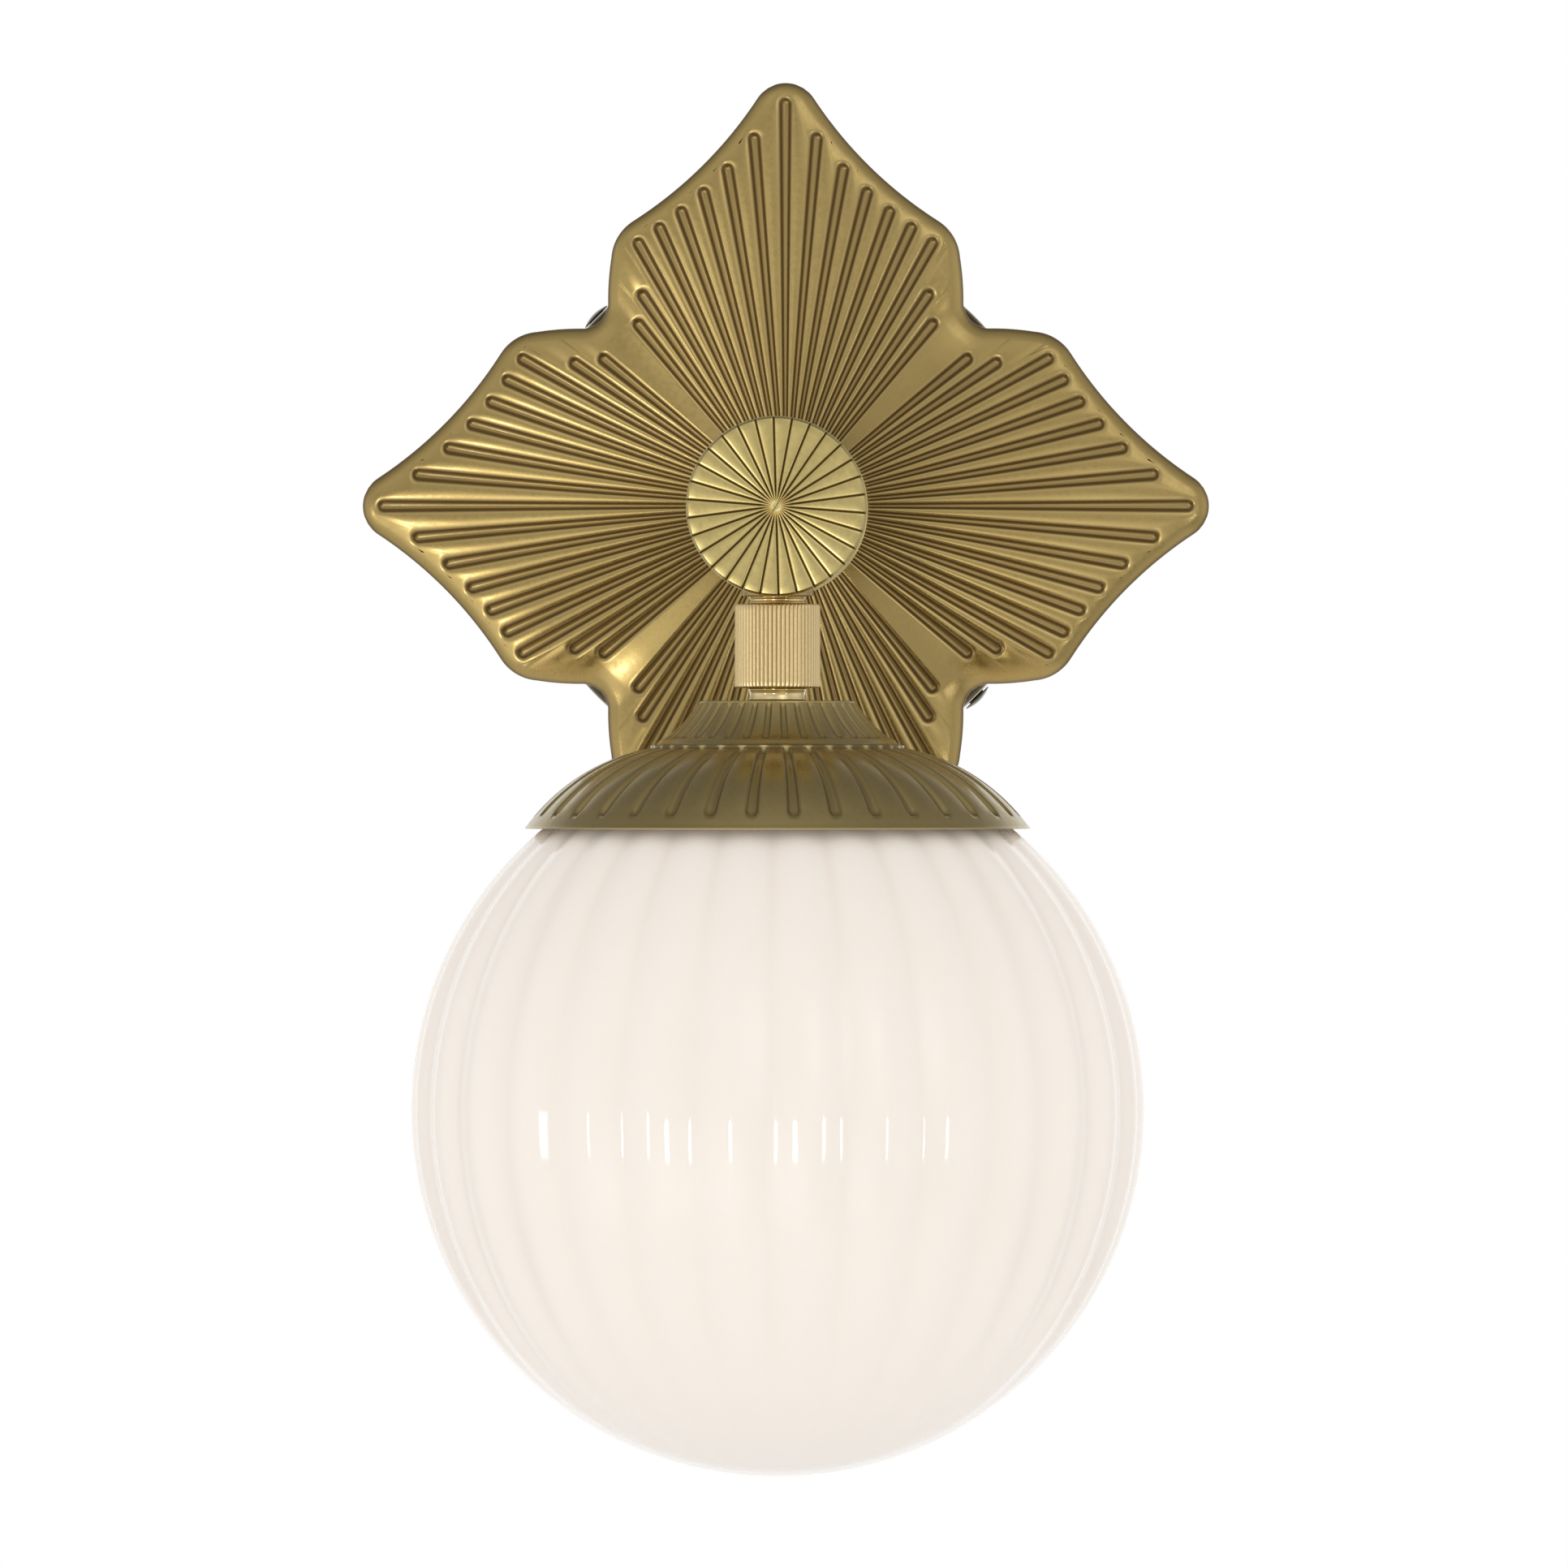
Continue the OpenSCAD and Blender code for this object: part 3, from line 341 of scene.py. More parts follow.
# how much rougher the clouds and the hollows are
CLOUD_ROUGH, HOLLOW_ROUGH = 0.05, 0.25


def brass(name, bright, dull, aged_tone_and_shade, rough, grain_depth=0.003, painted_shade_front=None):
    """The tone after bright and dull goes in the hollows: the aged tone, and painted shade where
    the marks put it. A pair of y values, if given, fades a piece into dark painted shade towards
    its front, where the plate in front of it shades it."""
    tree, shader = new_finish(name, rough, metal=1.0, Coat_Weight=0.4, Coat_Roughness=0.14)
    clouds = add_clouds(tree, BRASS_CLOUD, 4.0)
    # the hollow mark brings the aged tone, and on flute walls, creases and edges painted shade
    hollow = surface_mark(tree, "hollow")
    tone = blend(tree, hollow, blend(tree, clouds, bright, dull), aged_tone_and_shade)
    # painted shade: the piece darkens towards its front, where the plate in front of it shades it
    if painted_shade_front:
        place_y = add_node(tree, "SeparateXYZ", {0: object_place(tree)}).outputs["Y"]
        shaded = value_range(tree, place_y, *painted_shade_front)
        tone = blend(tree, shaded, tone, tuple(c * 0.2 for c in aged_tone_and_shade))
    # a pale tone where the surface is rubbed, which on lips, ridges and spots is also a painted
    # highlight
    rubbed_and_lit_tone = tuple(min(1.0, c * 1.18 + 0.04) for c in bright)
    tone = blend(tree, surface_mark(tree, "wear_and_sheen"), tone, rubbed_and_lit_tone)
    feed(tree, tone, shader.inputs["Base Color"])
    mottle = math_node(tree, "ADD", math_node(tree, "MULTIPLY", clouds, CLOUD_ROUGH),
                       math_node(tree, "MULTIPLY", hollow, HOLLOW_ROUGH))
    gloss = add_grain(tree, shader, BRASS_GRAIN, rough - 0.03, rough + 0.05, 0.15, grain_depth)
    feed(tree, math_node(tree, "ADD", gloss, mottle), shader.inputs["Roughness"])


brass("aged_brass", (0.465, 0.337, 0.118), (0.40, 0.284, 0.094), (0.19, 0.124, 0.052), 0.25)
brass("disc_brass", (0.60, 0.476, 0.189), (0.54, 0.428, 0.160), (0.18, 0.12, 0.038), 0.25)
brass("ferrule_brass", (0.84, 0.645, 0.32), (0.77, 0.585, 0.29), (0.31, 0.21, 0.092), 0.22)
brass("polished_brass", (0.84, 0.68, 0.36), (0.78, 0.62, 0.32), (0.30, 0.20, 0.08), 0.08,
      grain_depth=0.004)
brass("dark_brass", (0.44, 0.337, 0.130), (0.38, 0.289, 0.110), (0.11, 0.078, 0.028), 0.28)
# painted shade on the pan's front edge, which the plate shades
brass("pan_brass", (0.38, 0.28, 0.10), (0.32, 0.235, 0.08), (0.10, 0.07, 0.03), 0.26,
      painted_shade_front=(-16.5 * MM, -19 * MM))
brass("screw_bronze", (0.10, 0.08, 0.045), (0.07, 0.055, 0.035), (0.04, 0.03, 0.02), 0.14)

# %% [markdown]
# Opal glass is clear glass with a white milk in it. Light enters, scatters and comes back out
# next to where it went in, so it is a smooth dielectric over a warm subsurface colour.

# %% Opal glass
def opal():
    tree, shader = new_finish("opal_glass", 0.07, IOR=1.5, Subsurface_Weight=0.4,
                              Subsurface_Radius=(1.0, 0.94, 0.88), Subsurface_Scale=1.5 * MM)
    shader.subsurface_method = "RANDOM_WALK"
    clouds = object_noise(tree, 14.0, 2.0)
    milk = blend(tree, clouds, (0.965, 0.874, 0.797), (0.955, 0.857, 0.782))
    # painted shade: the valleys between the globe's ribs are darker, more so towards the cap
    shade = blend(tree, surface_mark(tree, "hollow"), milk, (0.90, 0.795, 0.715))
    feed(tree, shade, shader.inputs["Base Color"])


opal()

# %% [markdown]
# The hidden pieces keep the plain finishes of their trade: zinc on the nuts and the bracket, green
# paint on the ground screw, black phenolic and white porcelain in the lamp holder.

# %% Other finishes
PLAIN_CLOUD, PLAIN_GRAIN = 60.0, 1400.0


def plain(name, a, b, rough, metal=0.0, depth=0.01):
    """A finish that varies between the tones a and b, with a grain depth millimetres deep."""
    tree, shader = new_finish(name, rough, metal)
    tone = blend(tree, add_clouds(tree, PLAIN_CLOUD, 3.0), a, b)
    feed(tree, tone, shader.inputs["Base Color"])
    low, high = max(0.02, rough - 0.04), rough + 0.05
    gloss = add_grain(tree, shader, PLAIN_GRAIN, low, high, 0.2, depth)
    feed(tree, gloss, shader.inputs["Roughness"])


plain("zinc_steel", (0.62, 0.63, 0.64), (0.52, 0.53, 0.55), 0.30, metal=1.0)
plain("green_paint", (0.03, 0.22, 0.09), (0.025, 0.18, 0.07), 0.35)
plain("black_rubber", (0.035, 0.033, 0.032), (0.055, 0.052, 0.05), 0.62)
plain("black_phenolic", (0.022, 0.020, 0.019), (0.035, 0.031, 0.028), 0.28)
plain("white_porcelain", (0.86, 0.85, 0.81), (0.82, 0.81, 0.76), 0.12, depth=0.003)
plain("contact_metal", (0.80, 0.62, 0.30), (0.70, 0.53, 0.25), 0.22, metal=1.0)
plain("frosted_bulb", (0.90, 0.90, 0.87), (0.87, 0.87, 0.84), 0.42, depth=0.003)
plain("bulb_metal", (0.74, 0.74, 0.75), (0.64, 0.64, 0.66), 0.20, metal=1.0)
plain("black_glass", (0.012, 0.012, 0.014), (0.02, 0.02, 0.022), 0.06, depth=0.002)
plain("black_insulation", (0.02, 0.02, 0.021), (0.03, 0.03, 0.031), 0.40)
plain("white_insulation", (0.80, 0.79, 0.76), (0.76, 0.75, 0.72), 0.40)
plain("bare_copper", (0.80, 0.42, 0.25), (0.62, 0.31, 0.18), 0.25, metal=1.0)
plain("red_plastic", (0.48, 0.045, 0.03), (0.42, 0.035, 0.025), 0.33)
plain("cream_plastic", (0.80, 0.75, 0.62), (0.76, 0.71, 0.58), 0.36)

# %% [markdown]
# Every carried-over node keeps its own shape and only changes its material. The table pairs the
# record's slots with the finishes above, so no node can be forgotten.

# %% Dress the carried-over nodes
FINISH_OF_SLOT = {
    "aged_brass": "aged_brass", "light_brass": "disc_brass", "dark_brass": "dark_brass",
    "steel": "zinc_steel", "green_steel": "green_paint", "opal_glass": "opal_glass",
    "rubber": "black_rubber", "phenolic": "black_phenolic", "porcelain": "white_porcelain",
    "contact_brass": "contact_metal", "bulb_glass": "frosted_bulb", "bulb_shell": "bulb_metal",
    "black_glass": "black_glass", "live_insulation": "black_insulation",
    "neutral_insulation": "white_insulation", "copper": "bare_copper",
    "connector_plastic": "red_plastic", "bushing_plastic": "cream_plastic",
}
SLOT_OF_NODE = {part["node"]: part["material_slot"] for part in frame["record"]["subparts"]}

for node_name, piece in NODES.items():
    finish = MATERIALS[FINISH_OF_SLOT[SLOT_OF_NODE[node_name]]]
    for material_slot in piece.material_slots:
        material_slot.material = finish
for material_slot in NODES["canopy_pan"].material_slots:
    material_slot.material = MATERIALS["pan_brass"]
print("dressed", len(NODES), "nodes with", len(MATERIALS), "finishes")

# %% [markdown]
# A finished piece has its origin at the world's origin, rides on the body of its node and stands in
# for that node, which is hidden. One function does all of that, so that no step is missed.

# %% Finish a piece
def body_of_node(node_name):
    return NODES[node_name]["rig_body"]


def select_only(*pieces):
    """Selects these pieces and nothing else, and makes the first one active."""
    clear_selection()
    for piece in pieces:
        piece.select_set(True)
    bpy.context.view_layer.objects.active = pieces[0]


def complete(piece, name, finish, *nodes, smooth=38):
    """Applies the place, smooths and dresses the piece, hangs it on its first node's body and hides
    the nodes that it stands for.
    """
    select_only(piece)
    bpy.ops.object.transform_apply(location=True, rotation=True, scale=True)
    bpy.ops.object.shade_smooth_by_angle(angle=math.radians(smooth))
    piece.name = name
    piece.data.name = name
    piece.data.materials.clear()
    piece.data.materials.append(MATERIALS[finish])
    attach(piece, body_of_node(nodes[0]))
    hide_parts(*nodes)
    triangles = sum(len(p.vertices) - 2 for p in piece.data.polygons)
    print(name, "made:", triangles, "triangles")
    return piece


# %% [markdown]
# Four small helpers are used again and again: go into edit mode, clean the mesh, put the modifiers
# into it, and join pieces into one.

# %% Edit, clean and join
MERGE = 0.001 * MM


def edit(piece, action="SELECT"):
    """Edit mode on one piece, with everything in it selected or nothing."""
    select_only(piece)
    bpy.ops.object.mode_set(mode="EDIT")
    bpy.ops.mesh.select_mode(type="VERT")
    bpy.ops.mesh.select_all(action=action)


def clean(piece):
    """Merges doubles and turns every face outwards."""
    edit(piece)
    bpy.ops.mesh.remove_doubles(threshold=MERGE)
    bpy.ops.mesh.select_all(action="SELECT")
    bpy.ops.mesh.normals_make_consistent(inside=False)
    bpy.ops.object.mode_set(mode="OBJECT")


def apply_modifiers(piece):
    select_only(piece)
    for modifier in list(piece.modifiers):
        bpy.ops.object.modifier_apply(modifier=modifier.name)


def join(piece, *others):
    select_only(piece, *others)
    bpy.ops.object.join()


# %% [markdown]
# Turned pieces, such as the hub or a collar, are made as on a lathe. One point is extruded along
# the half section, the line is spun round the axis, and a small bevel breaks the sharp corners,
# because a true edge always catches a line of light.

# %% Turned pieces
def new_point(place):
    """A piece of a single point, in edit mode: the start of a line."""
    clear_selection()
    bpy.ops.mesh.primitive_plane_add(size=1 * MM, location=place)
    piece = bpy.context.object
    edit(piece)
    bpy.ops.mesh.merge(type="COLLAPSE")
    return piece


def turned(points, centre, axis, steps=128, bevel=0.25 * MM, closed=True):
    """Spins a half section. A point is (radius, height along the axis). A solid piece has an open
    line that starts and ends on the axis."""
    out = axis.orthogonal().normalized()
    places = [centre + out * r + axis * h for r, h in points]
    piece = new_point(places[0])
    for here, there in zip(places, places[1:] + (places[:1] if closed else [])):
        bpy.ops.mesh.extrude_region_move(TRANSFORM_OT_translate={"value": there - here})
    bpy.ops.mesh.select_all(action="SELECT")
    bpy.ops.mesh.spin(steps=steps, angle=2 * math.pi, center=centre, axis=axis)
    clean(piece)
    edge = piece.modifiers.new("edge", "BEVEL")
    edge.width = bevel
    edge.segments = 2
    edge.limit_method = "ANGLE"
    edge.angle_limit = math.radians(28)
    apply_modifiers(piece)
    return piece


def ring_section(inner, outer, low, high):
    return [(inner, low), (outer, low), (outer, high), (inner, high)]


def section_arc(r, h, radius, start, stop, steps):
    """Points on a rounding of the section about (r, h). Angles are degrees from straight out."""
    angles = [math.radians(start + (stop - start) * k / steps) for k in range(steps + 1)]
    return [(r + radius * math.cos(a), h + radius * math.sin(a)) for a in angles]


def cut(piece, cutter):
    """Takes the cutter's shape out of the piece, and removes the cutter."""
    carve = piece.modifiers.new("carve", "BOOLEAN")
    carve.operation = "DIFFERENCE"
    carve.solver = "EXACT"
    carve.object = cutter
    apply_modifiers(piece)
    select_only(cutter)
    bpy.ops.object.delete()


def drill(piece, radius, centre, axis, start, depth):
    """A round hole along the axis."""
    clear_selection()
    bpy.ops.mesh.primitive_cylinder_add(vertices=48, radius=radius, depth=depth,
                                        location=centre + axis * (start + depth / 2),
                                        rotation=axis.to_track_quat("Z", "Y").to_euler())
    cut(piece, bpy.context.object)


OUT = Vector((0, -1, 0))
UP = Vector((0, 0, 1))

# %% [markdown]
# Fluted pieces need more than a spin: their surface follows a rule in two directions. They start
# as a grid primitive whose columns run round the piece and whose rows run along the half section.
# A short formula lays each corner in its place, and merging doubles closes the seam.

# %% Wrapped grids
def wrapped(columns, rows, lay):
    """A grid bent into a closed shape. lay(i, j) takes the column and row of every corner and gives
    x, y, z and two marks: how much dark tone the surface gets there, as aged tone and painted
    shade, and how much pale tone, as wear and painted highlight."""
    clear_selection()
    bpy.ops.mesh.primitive_grid_add(x_subdivisions=columns, y_subdivisions=rows - 1, size=1)
    piece = bpy.context.object
    mesh = piece.data
    flat = np.empty(len(mesh.vertices) * 3)
    mesh.vertices.foreach_get("co", flat)
    flat = flat.reshape(-1, 3)
    i = np.rint((flat[:, 0] + 0.5) * columns).astype(int) % columns
    j = np.rint((flat[:, 1] + 0.5) * (rows - 1)).astype(int)
    x, y, z, hollow, wear_and_sheen = lay(i, j)
    mesh.vertices.foreach_set("co", np.stack([x, y, z], axis=1).ravel())
    for name, values in (("hollow", hollow), ("wear_and_sheen", wear_and_sheen)):
        mark = mesh.attributes.new(name, "FLOAT", "POINT")
        mark.data.foreach_set("value", np.clip(values, 0, 1).astype(np.float32))
    mesh.update()
    clean(piece)
    return piece


def bridge(piece):
    """Closes a wrapped grid that runs round a bore: its first row meets its last."""
    edit(piece, "DESELECT")
    bpy.ops.mesh.select_mode(type="EDGE")
    bpy.ops.mesh.select_non_manifold()
    bpy.ops.mesh.bridge_edge_loops()
    bpy.ops.object.mode_set(mode="OBJECT")
    clean(piece)


def smooth_step(low, high, value):
    """0 below low and 1 above high, with a soft rise in between."""
    t = np.clip((value - low) / (high - low), 0, 1)
    return t * t * (3 - 2 * t)


def hump(value, middle, spread):
    """1 at the middle, and falling to 0 on both sides of it."""
    return np.exp(-((value - middle) / spread) ** 2)


# %% [markdown]
# The backplate is a cast star with four arms. Its outline is drawn from arcs: a round tip, a
# hollow flank, a round shoulder, a straight side and a round notch. Drawn inset, the same arcs
# give the rows of the pillowed rim.

# %% Outline of the star
TIP_REACH, TIP_R, FLANK_R, SHOULDER_R, NOTCH_R = (v * MM for v in (90.6, 7.2, 89.4, 10.1, 5.6))
TIP_TURN, FLANK_TURN, SIDE_TURN = (math.radians(v) for v in (33.3, 57.5, 4.1))


def arc_from(start, radius, a, b, steps):
    """Points of an arc from start whose slope runs from a to b. A hollow arc has a minus radius."""
    c = a + (b - a) * np.arange(1, steps + 1) / steps
    return start + radius * np.stack([np.sin(c) - math.sin(a), np.cos(c) - math.cos(a)], axis=1)


def octant(inset):
    """An eighth of the outline, from a tip to the bottom of a notch."""
    start = np.array([[TIP_REACH - inset, 0.0]])
    tip = arc_from(start[-1], TIP_R - inset, math.pi / 2, TIP_TURN, 24)
    flank = arc_from(tip[-1], -(FLANK_R + inset), TIP_TURN, FLANK_TURN, 24)
    shoulder = arc_from(flank[-1], SHOULDER_R - inset, FLANK_TURN, SIDE_TURN, 24)
    turn = arc_from(shoulder[-1], -(NOTCH_R + inset), SIDE_TURN, math.pi / 4, 1)[-1]
    run = (turn[0] - turn[1]) / (math.cos(SIDE_TURN) + math.sin(SIDE_TURN))
    side = shoulder[-1] + run * np.array([-math.cos(SIDE_TURN), math.sin(SIDE_TURN)])
    notch = arc_from(side, -(NOTCH_R + inset), SIDE_TURN, math.pi / 4, 12)
    return np.concatenate([start, tip, flank, shoulder, [side], notch])


def reach_at(angle, inset):
    """Distance from the centre to the inset outline in the direction of angle, in radians."""
    points = octant(inset)
    folded = np.abs((np.asarray(angle) + math.pi / 4) % (math.pi / 2) - math.pi / 4)
    angles, reaches = np.arctan2(points[:, 1], points[:, 0]), np.hypot(points[:, 0], points[:, 1])
    return np.interp(folded, angles, reaches)


print("star reaches", round(float(reach_at(0.0, 0.0)) / MM, 1), "mm, notch at",
      round(float(reach_at(math.pi / 4, 0.0)) / MM, 1), "mm")

# %% [markdown]
# Each arm has seventeen flutes that run out from under the hub. The grid's columns follow them,
# close together on a flute's walls and far apart between two flutes.

# %% Columns of the plate
FLUTE_PITCH = math.radians(4.87)
FLUTES_PER_SIDE = 8
FLUTE_HALF, ROOT_HALF = 1.45 * MM, 0.55 * MM
FLUTE_DEPTH = 1.05 * MM
FLUTE_ROOT_R = 17.7 * MM
FLUTE_MARGIN, SIDE_MARGIN = 4.6 * MM, 7.6 * MM
SIDE_FROM = math.radians(32)
ACROSS = (-1.5, -1.22, -1.05, -0.92, -0.78, -0.62, -0.45, -0.24, 0.0,
          0.24, 0.45, 0.62, 0.78, 0.92, 1.05, 1.22, 1.5)
GAP_TURNS = (41.7, 43.3, 45.0, 46.7, 48.3)


def flute_end(turn):
    """How far out a flute reaches. The flutes beside a notch stop further from the outline."""
    return float(reach_at(turn, SIDE_MARGIN if abs(turn) > SIDE_FROM else FLUTE_MARGIN))


def plate_columns():
    """For each column: the flute's angle, the place across the flute, and the flute's end."""
    turns = [k * FLUTE_PITCH for k in range(-FLUTES_PER_SIDE, FLUTES_PER_SIDE + 1)]
    columns = []
    for turn, after in zip(turns, turns[1:] + [None]):
        columns += [(turn, place, flute_end(turn)) for place in ACROSS]
        if after is not None:
            between = (flute_end(turn) + flute_end(after)) / 2
            columns.append((turn + FLUTE_PITCH / 2, np.nan, between))
    columns += [(math.radians(gap), np.nan, flute_end(turns[-1])) for gap in GAP_TURNS]
    arms = [np.array(columns) + (quarter * math.pi / 2, 0, 0) for quarter in range(4)]
    return np.concatenate(arms).T


def flute_half(radius, end):
    """Half the width of a flute, which grows from its root to its end."""
    grown = np.clip((radius - FLUTE_ROOT_R) / (end - FLUTE_ROOT_R), 0, 1)
    return ROOT_HALF + (FLUTE_HALF - ROOT_HALF) * grown


def column_angle(radius, centre, place, end):
    """The angle of a column swings with the flute's width. Outside the flute, the columns keep
    clear of the next flute's."""
    safe = np.maximum(radius, FLUTE_ROOT_R)
    swing = flute_half(safe, end) / safe
    room = np.minimum(swing, (0.49 * FLUTE_PITCH - swing) / 0.5)
    beyond = np.sign(place) * np.maximum(np.abs(place) - 1, 0)
    return centre + np.clip(place, -1, 1) * swing + beyond * room


print("plate grid:", len(plate_columns()[0]), "columns")

# %% [markdown]
# The rows run out over the front, crowd where the flutes end and where the rim curves down, and
# come back behind the plate to the hub in its middle.

# %% Rows of the plate
ROOT_ROWS = [r * MM for r in (5.3, 14.6, 16.4, 17.1, 17.5, 17.9, 18.4, 19.4)]
RUN_ROWS = 15
RUN_STOP = -2.8 * MM
# radius beyond the end of the flute
END_ROWS = [d * MM for d in (-2.0, -1.2, -0.5, 0.0, 0.35, 0.65, 0.9, 1.12, 1.32, 1.52, 1.75, 1.98)]
RIM_INSETS = [d * MM for d in (2.55, 2.1, 1.65, 1.25, 0.9, 0.6, 0.35, 0.16, 0.04, 0.0)]
# inset from the outline and height above the plate's back, in three rows down the side, over the
# back edge and up the inner wall
SIDE_ROWS = 3
BACK_ROWS = [(d * MM, h * MM) for d, h in ((0, 2.4), (0, 1.0), (0.05, 0.35), (0.35, 0.0),
                                           (2.7, 0.0), (3.0, 0.3), (3.0, 2.6), (3.4, 3.0))]
# radius and height, over the inner face to the hub in the middle and down its bore
BOSS_ROWS = [(r * MM, h * MM) for r, h in ((40, 3.0), (15.4, 3.0), (15.0, 2.6), (15.0, 0.3),
                                           (14.7, 0.0), (5.4, 0.0), (5.1, 0.3), (5.1, 5.7))]
FIRST_RIM = len(ROOT_ROWS) + RUN_ROWS + len(END_ROWS)
FIRST_BACK = FIRST_RIM + len(RIM_INSETS)
PLATE_ROWS = FIRST_BACK + len(BACK_ROWS) + len(BOSS_ROWS)
PLATE_H = PLATE_HIGH.y - PLATE_LOW.y


def plate_rows(rim_angle, end):
    """Radius and height of each row in turn, for a plate that is still flat in front."""
    start, stop = ROOT_ROWS[-1], end + RUN_STOP
    runs = [start + (stop - start) * k / (RUN_ROWS + 1) for k in range(1, RUN_ROWS + 1)]
    fronts = ROOT_ROWS + runs + [end + beyond for beyond in END_ROWS]
    fronts += [reach_at(rim_angle, inset) for inset in RIM_INSETS]
    rows = [(radius, PLATE_H) for radius in fronts]
    rows += [(reach_at(rim_angle, inset), level) for inset, level in BACK_ROWS]
    return rows + BOSS_ROWS


print("plate grid:", PLATE_ROWS, "rows")

# %% [markdown]
# Four things lower the front: the rim, which falls in a quarter ellipse, the flutes, whose section
# is a hollow trough with round lips, a slight arch of the land between two flutes, and slight
# rolls of the field towards the rim and the notches. The last two give the reflections a gradient,
# as on real cast metal.

# %% Height of the plate
RIM_W, RIM_H = 5.2 * MM, 2.3 * MM
TROUGH_EDGE, LIP_EDGE = (0.30, 1.08), (0.9, 1.5)
LIP_DEPTH = 0.10 * MM
LAND_SLOPE = 0.15
DOME_DROP = 0.3 * MM
FIELD_ROLL, FIELD_SPREAD = 1.2 * MM, math.radians(9)
FIELD_FROM, FIELD_TO = 22 * MM, 56 * MM
MARGIN_W, MARGIN_DROP = 13 * MM, 1.0 * MM
INSETS_TRIED = np.linspace(0, 14 * MM, 29)


def inset_at(angle, radius):
    """How far a point lies inside the outline, found between a set of inset outlines."""
    reaches = [reach_at(angle, d) for d in INSETS_TRIED]
    inset = np.full(radius.shape, INSETS_TRIED[-1])
    for nearer, further, d0, d1 in zip(reaches, reaches[1:], INSETS_TRIED, INSETS_TRIED[1:]):
        inside = (radius <= nearer) & (radius > further)
        share = (nearer - radius) / np.maximum(nearer - further, 1e-9)
        inset = np.where(inside, d0 + (d1 - d0) * share, inset)
    return np.where(radius > reaches[0], 0.0, inset)


def rim_drop(inset):
    fall = np.clip(1 - inset / RIM_W, 0, 1)
    return RIM_H * (1 - np.sqrt(np.maximum(0, 1 - fall ** 2)))


def flute_drop(away, half):
    """away is the distance from the flute's middle line in half widths. A wide flute is deeper."""
    trough = (1 - smooth_step(*TROUGH_EDGE, away)) * (1 - 0.30 * np.minimum(away, 1) ** 2)
    depth = FLUTE_DEPTH * (0.45 + 0.55 * half / FLUTE_HALF)
    return trough * depth + (1 - smooth_step(*LIP_EDGE, away)) * LIP_DEPTH


def land_drop(r, turn, half, end):
    """The land beside a flute is slightly arched: it slopes most at the flute's edge."""
    nearest = np.clip(np.rint(turn / FLUTE_PITCH), -FLUTES_PER_SIDE, FLUTES_PER_SIDE) * FLUTE_PITCH
    from_edge = np.hypot((turn - nearest) * r, np.maximum(r - end, 0)) - half
    land_half = np.maximum(FLUTE_PITCH * r / 2 - half, 0.1 * MM)
    return LAND_SLOPE / 2 * land_half * (1 - np.clip(from_edge / land_half, 0, 1)) ** 2


def field_drop(r, turn, inset):
    """The plain field rolls down towards the rim and, between two arms, towards the notch."""
    outwards = np.clip((r - FIELD_FROM) / (FIELD_TO - FIELD_FROM), 0, 1) ** 1.6
    roll = FIELD_ROLL * hump(np.abs(turn), math.pi / 4, FIELD_SPREAD) * outwards
    margin = MARGIN_DROP * np.clip(1 - inset / MARGIN_W, 0, 1) ** 2
    return margin + roll + DOME_DROP * (r / TIP_REACH) ** 2


# %% [markdown]
# Laying the plate puts it together: place, height and the two marks. The flutes' walls and floors
# get the aged tone with painted shade, the outline, the side and the back get painted shade, and a
# flute's lips are painted pale, as wear and as a painted highlight.

# %% Lay the plate
# the distance that stands for a column beside the flutes, and where flutes fade in at their root
OFF_FLUTE, ROOT_FADE = 9.0, (17.1 * MM, 17.9 * MM)
# the flutes' walls and floors get aged tone together with painted shade
WALL_PATINA_AND_SHADE, WALL_AT, WALL_W = 0.70, 0.84, 0.19
FLOOR_PATINA_AND_SHADE, FLOOR_EDGE = 0.42, (0.7, 0.95)
# painted shade: a dark line along the outline, and a darker side and back
OUTLINE_PAINTED_SHADE, OUTLINE_W = 0.9, 0.5 * MM
SIDE_PAINTED_SHADE, BACK_PAINTED_SHADE = 0.9, 0.35
# the flutes' lips get a pale tone, as wear and as a painted highlight
LIP_RUB_AND_SHEEN, LIP_AT, LIP_W = 0.30, 1.25, 0.14
# radii between which the middle of the plate moves down to the hub's bore
BORE_FRONT, BORE_BACK = (14 * MM, 17 * MM), (15.5 * MM, 38 * MM)


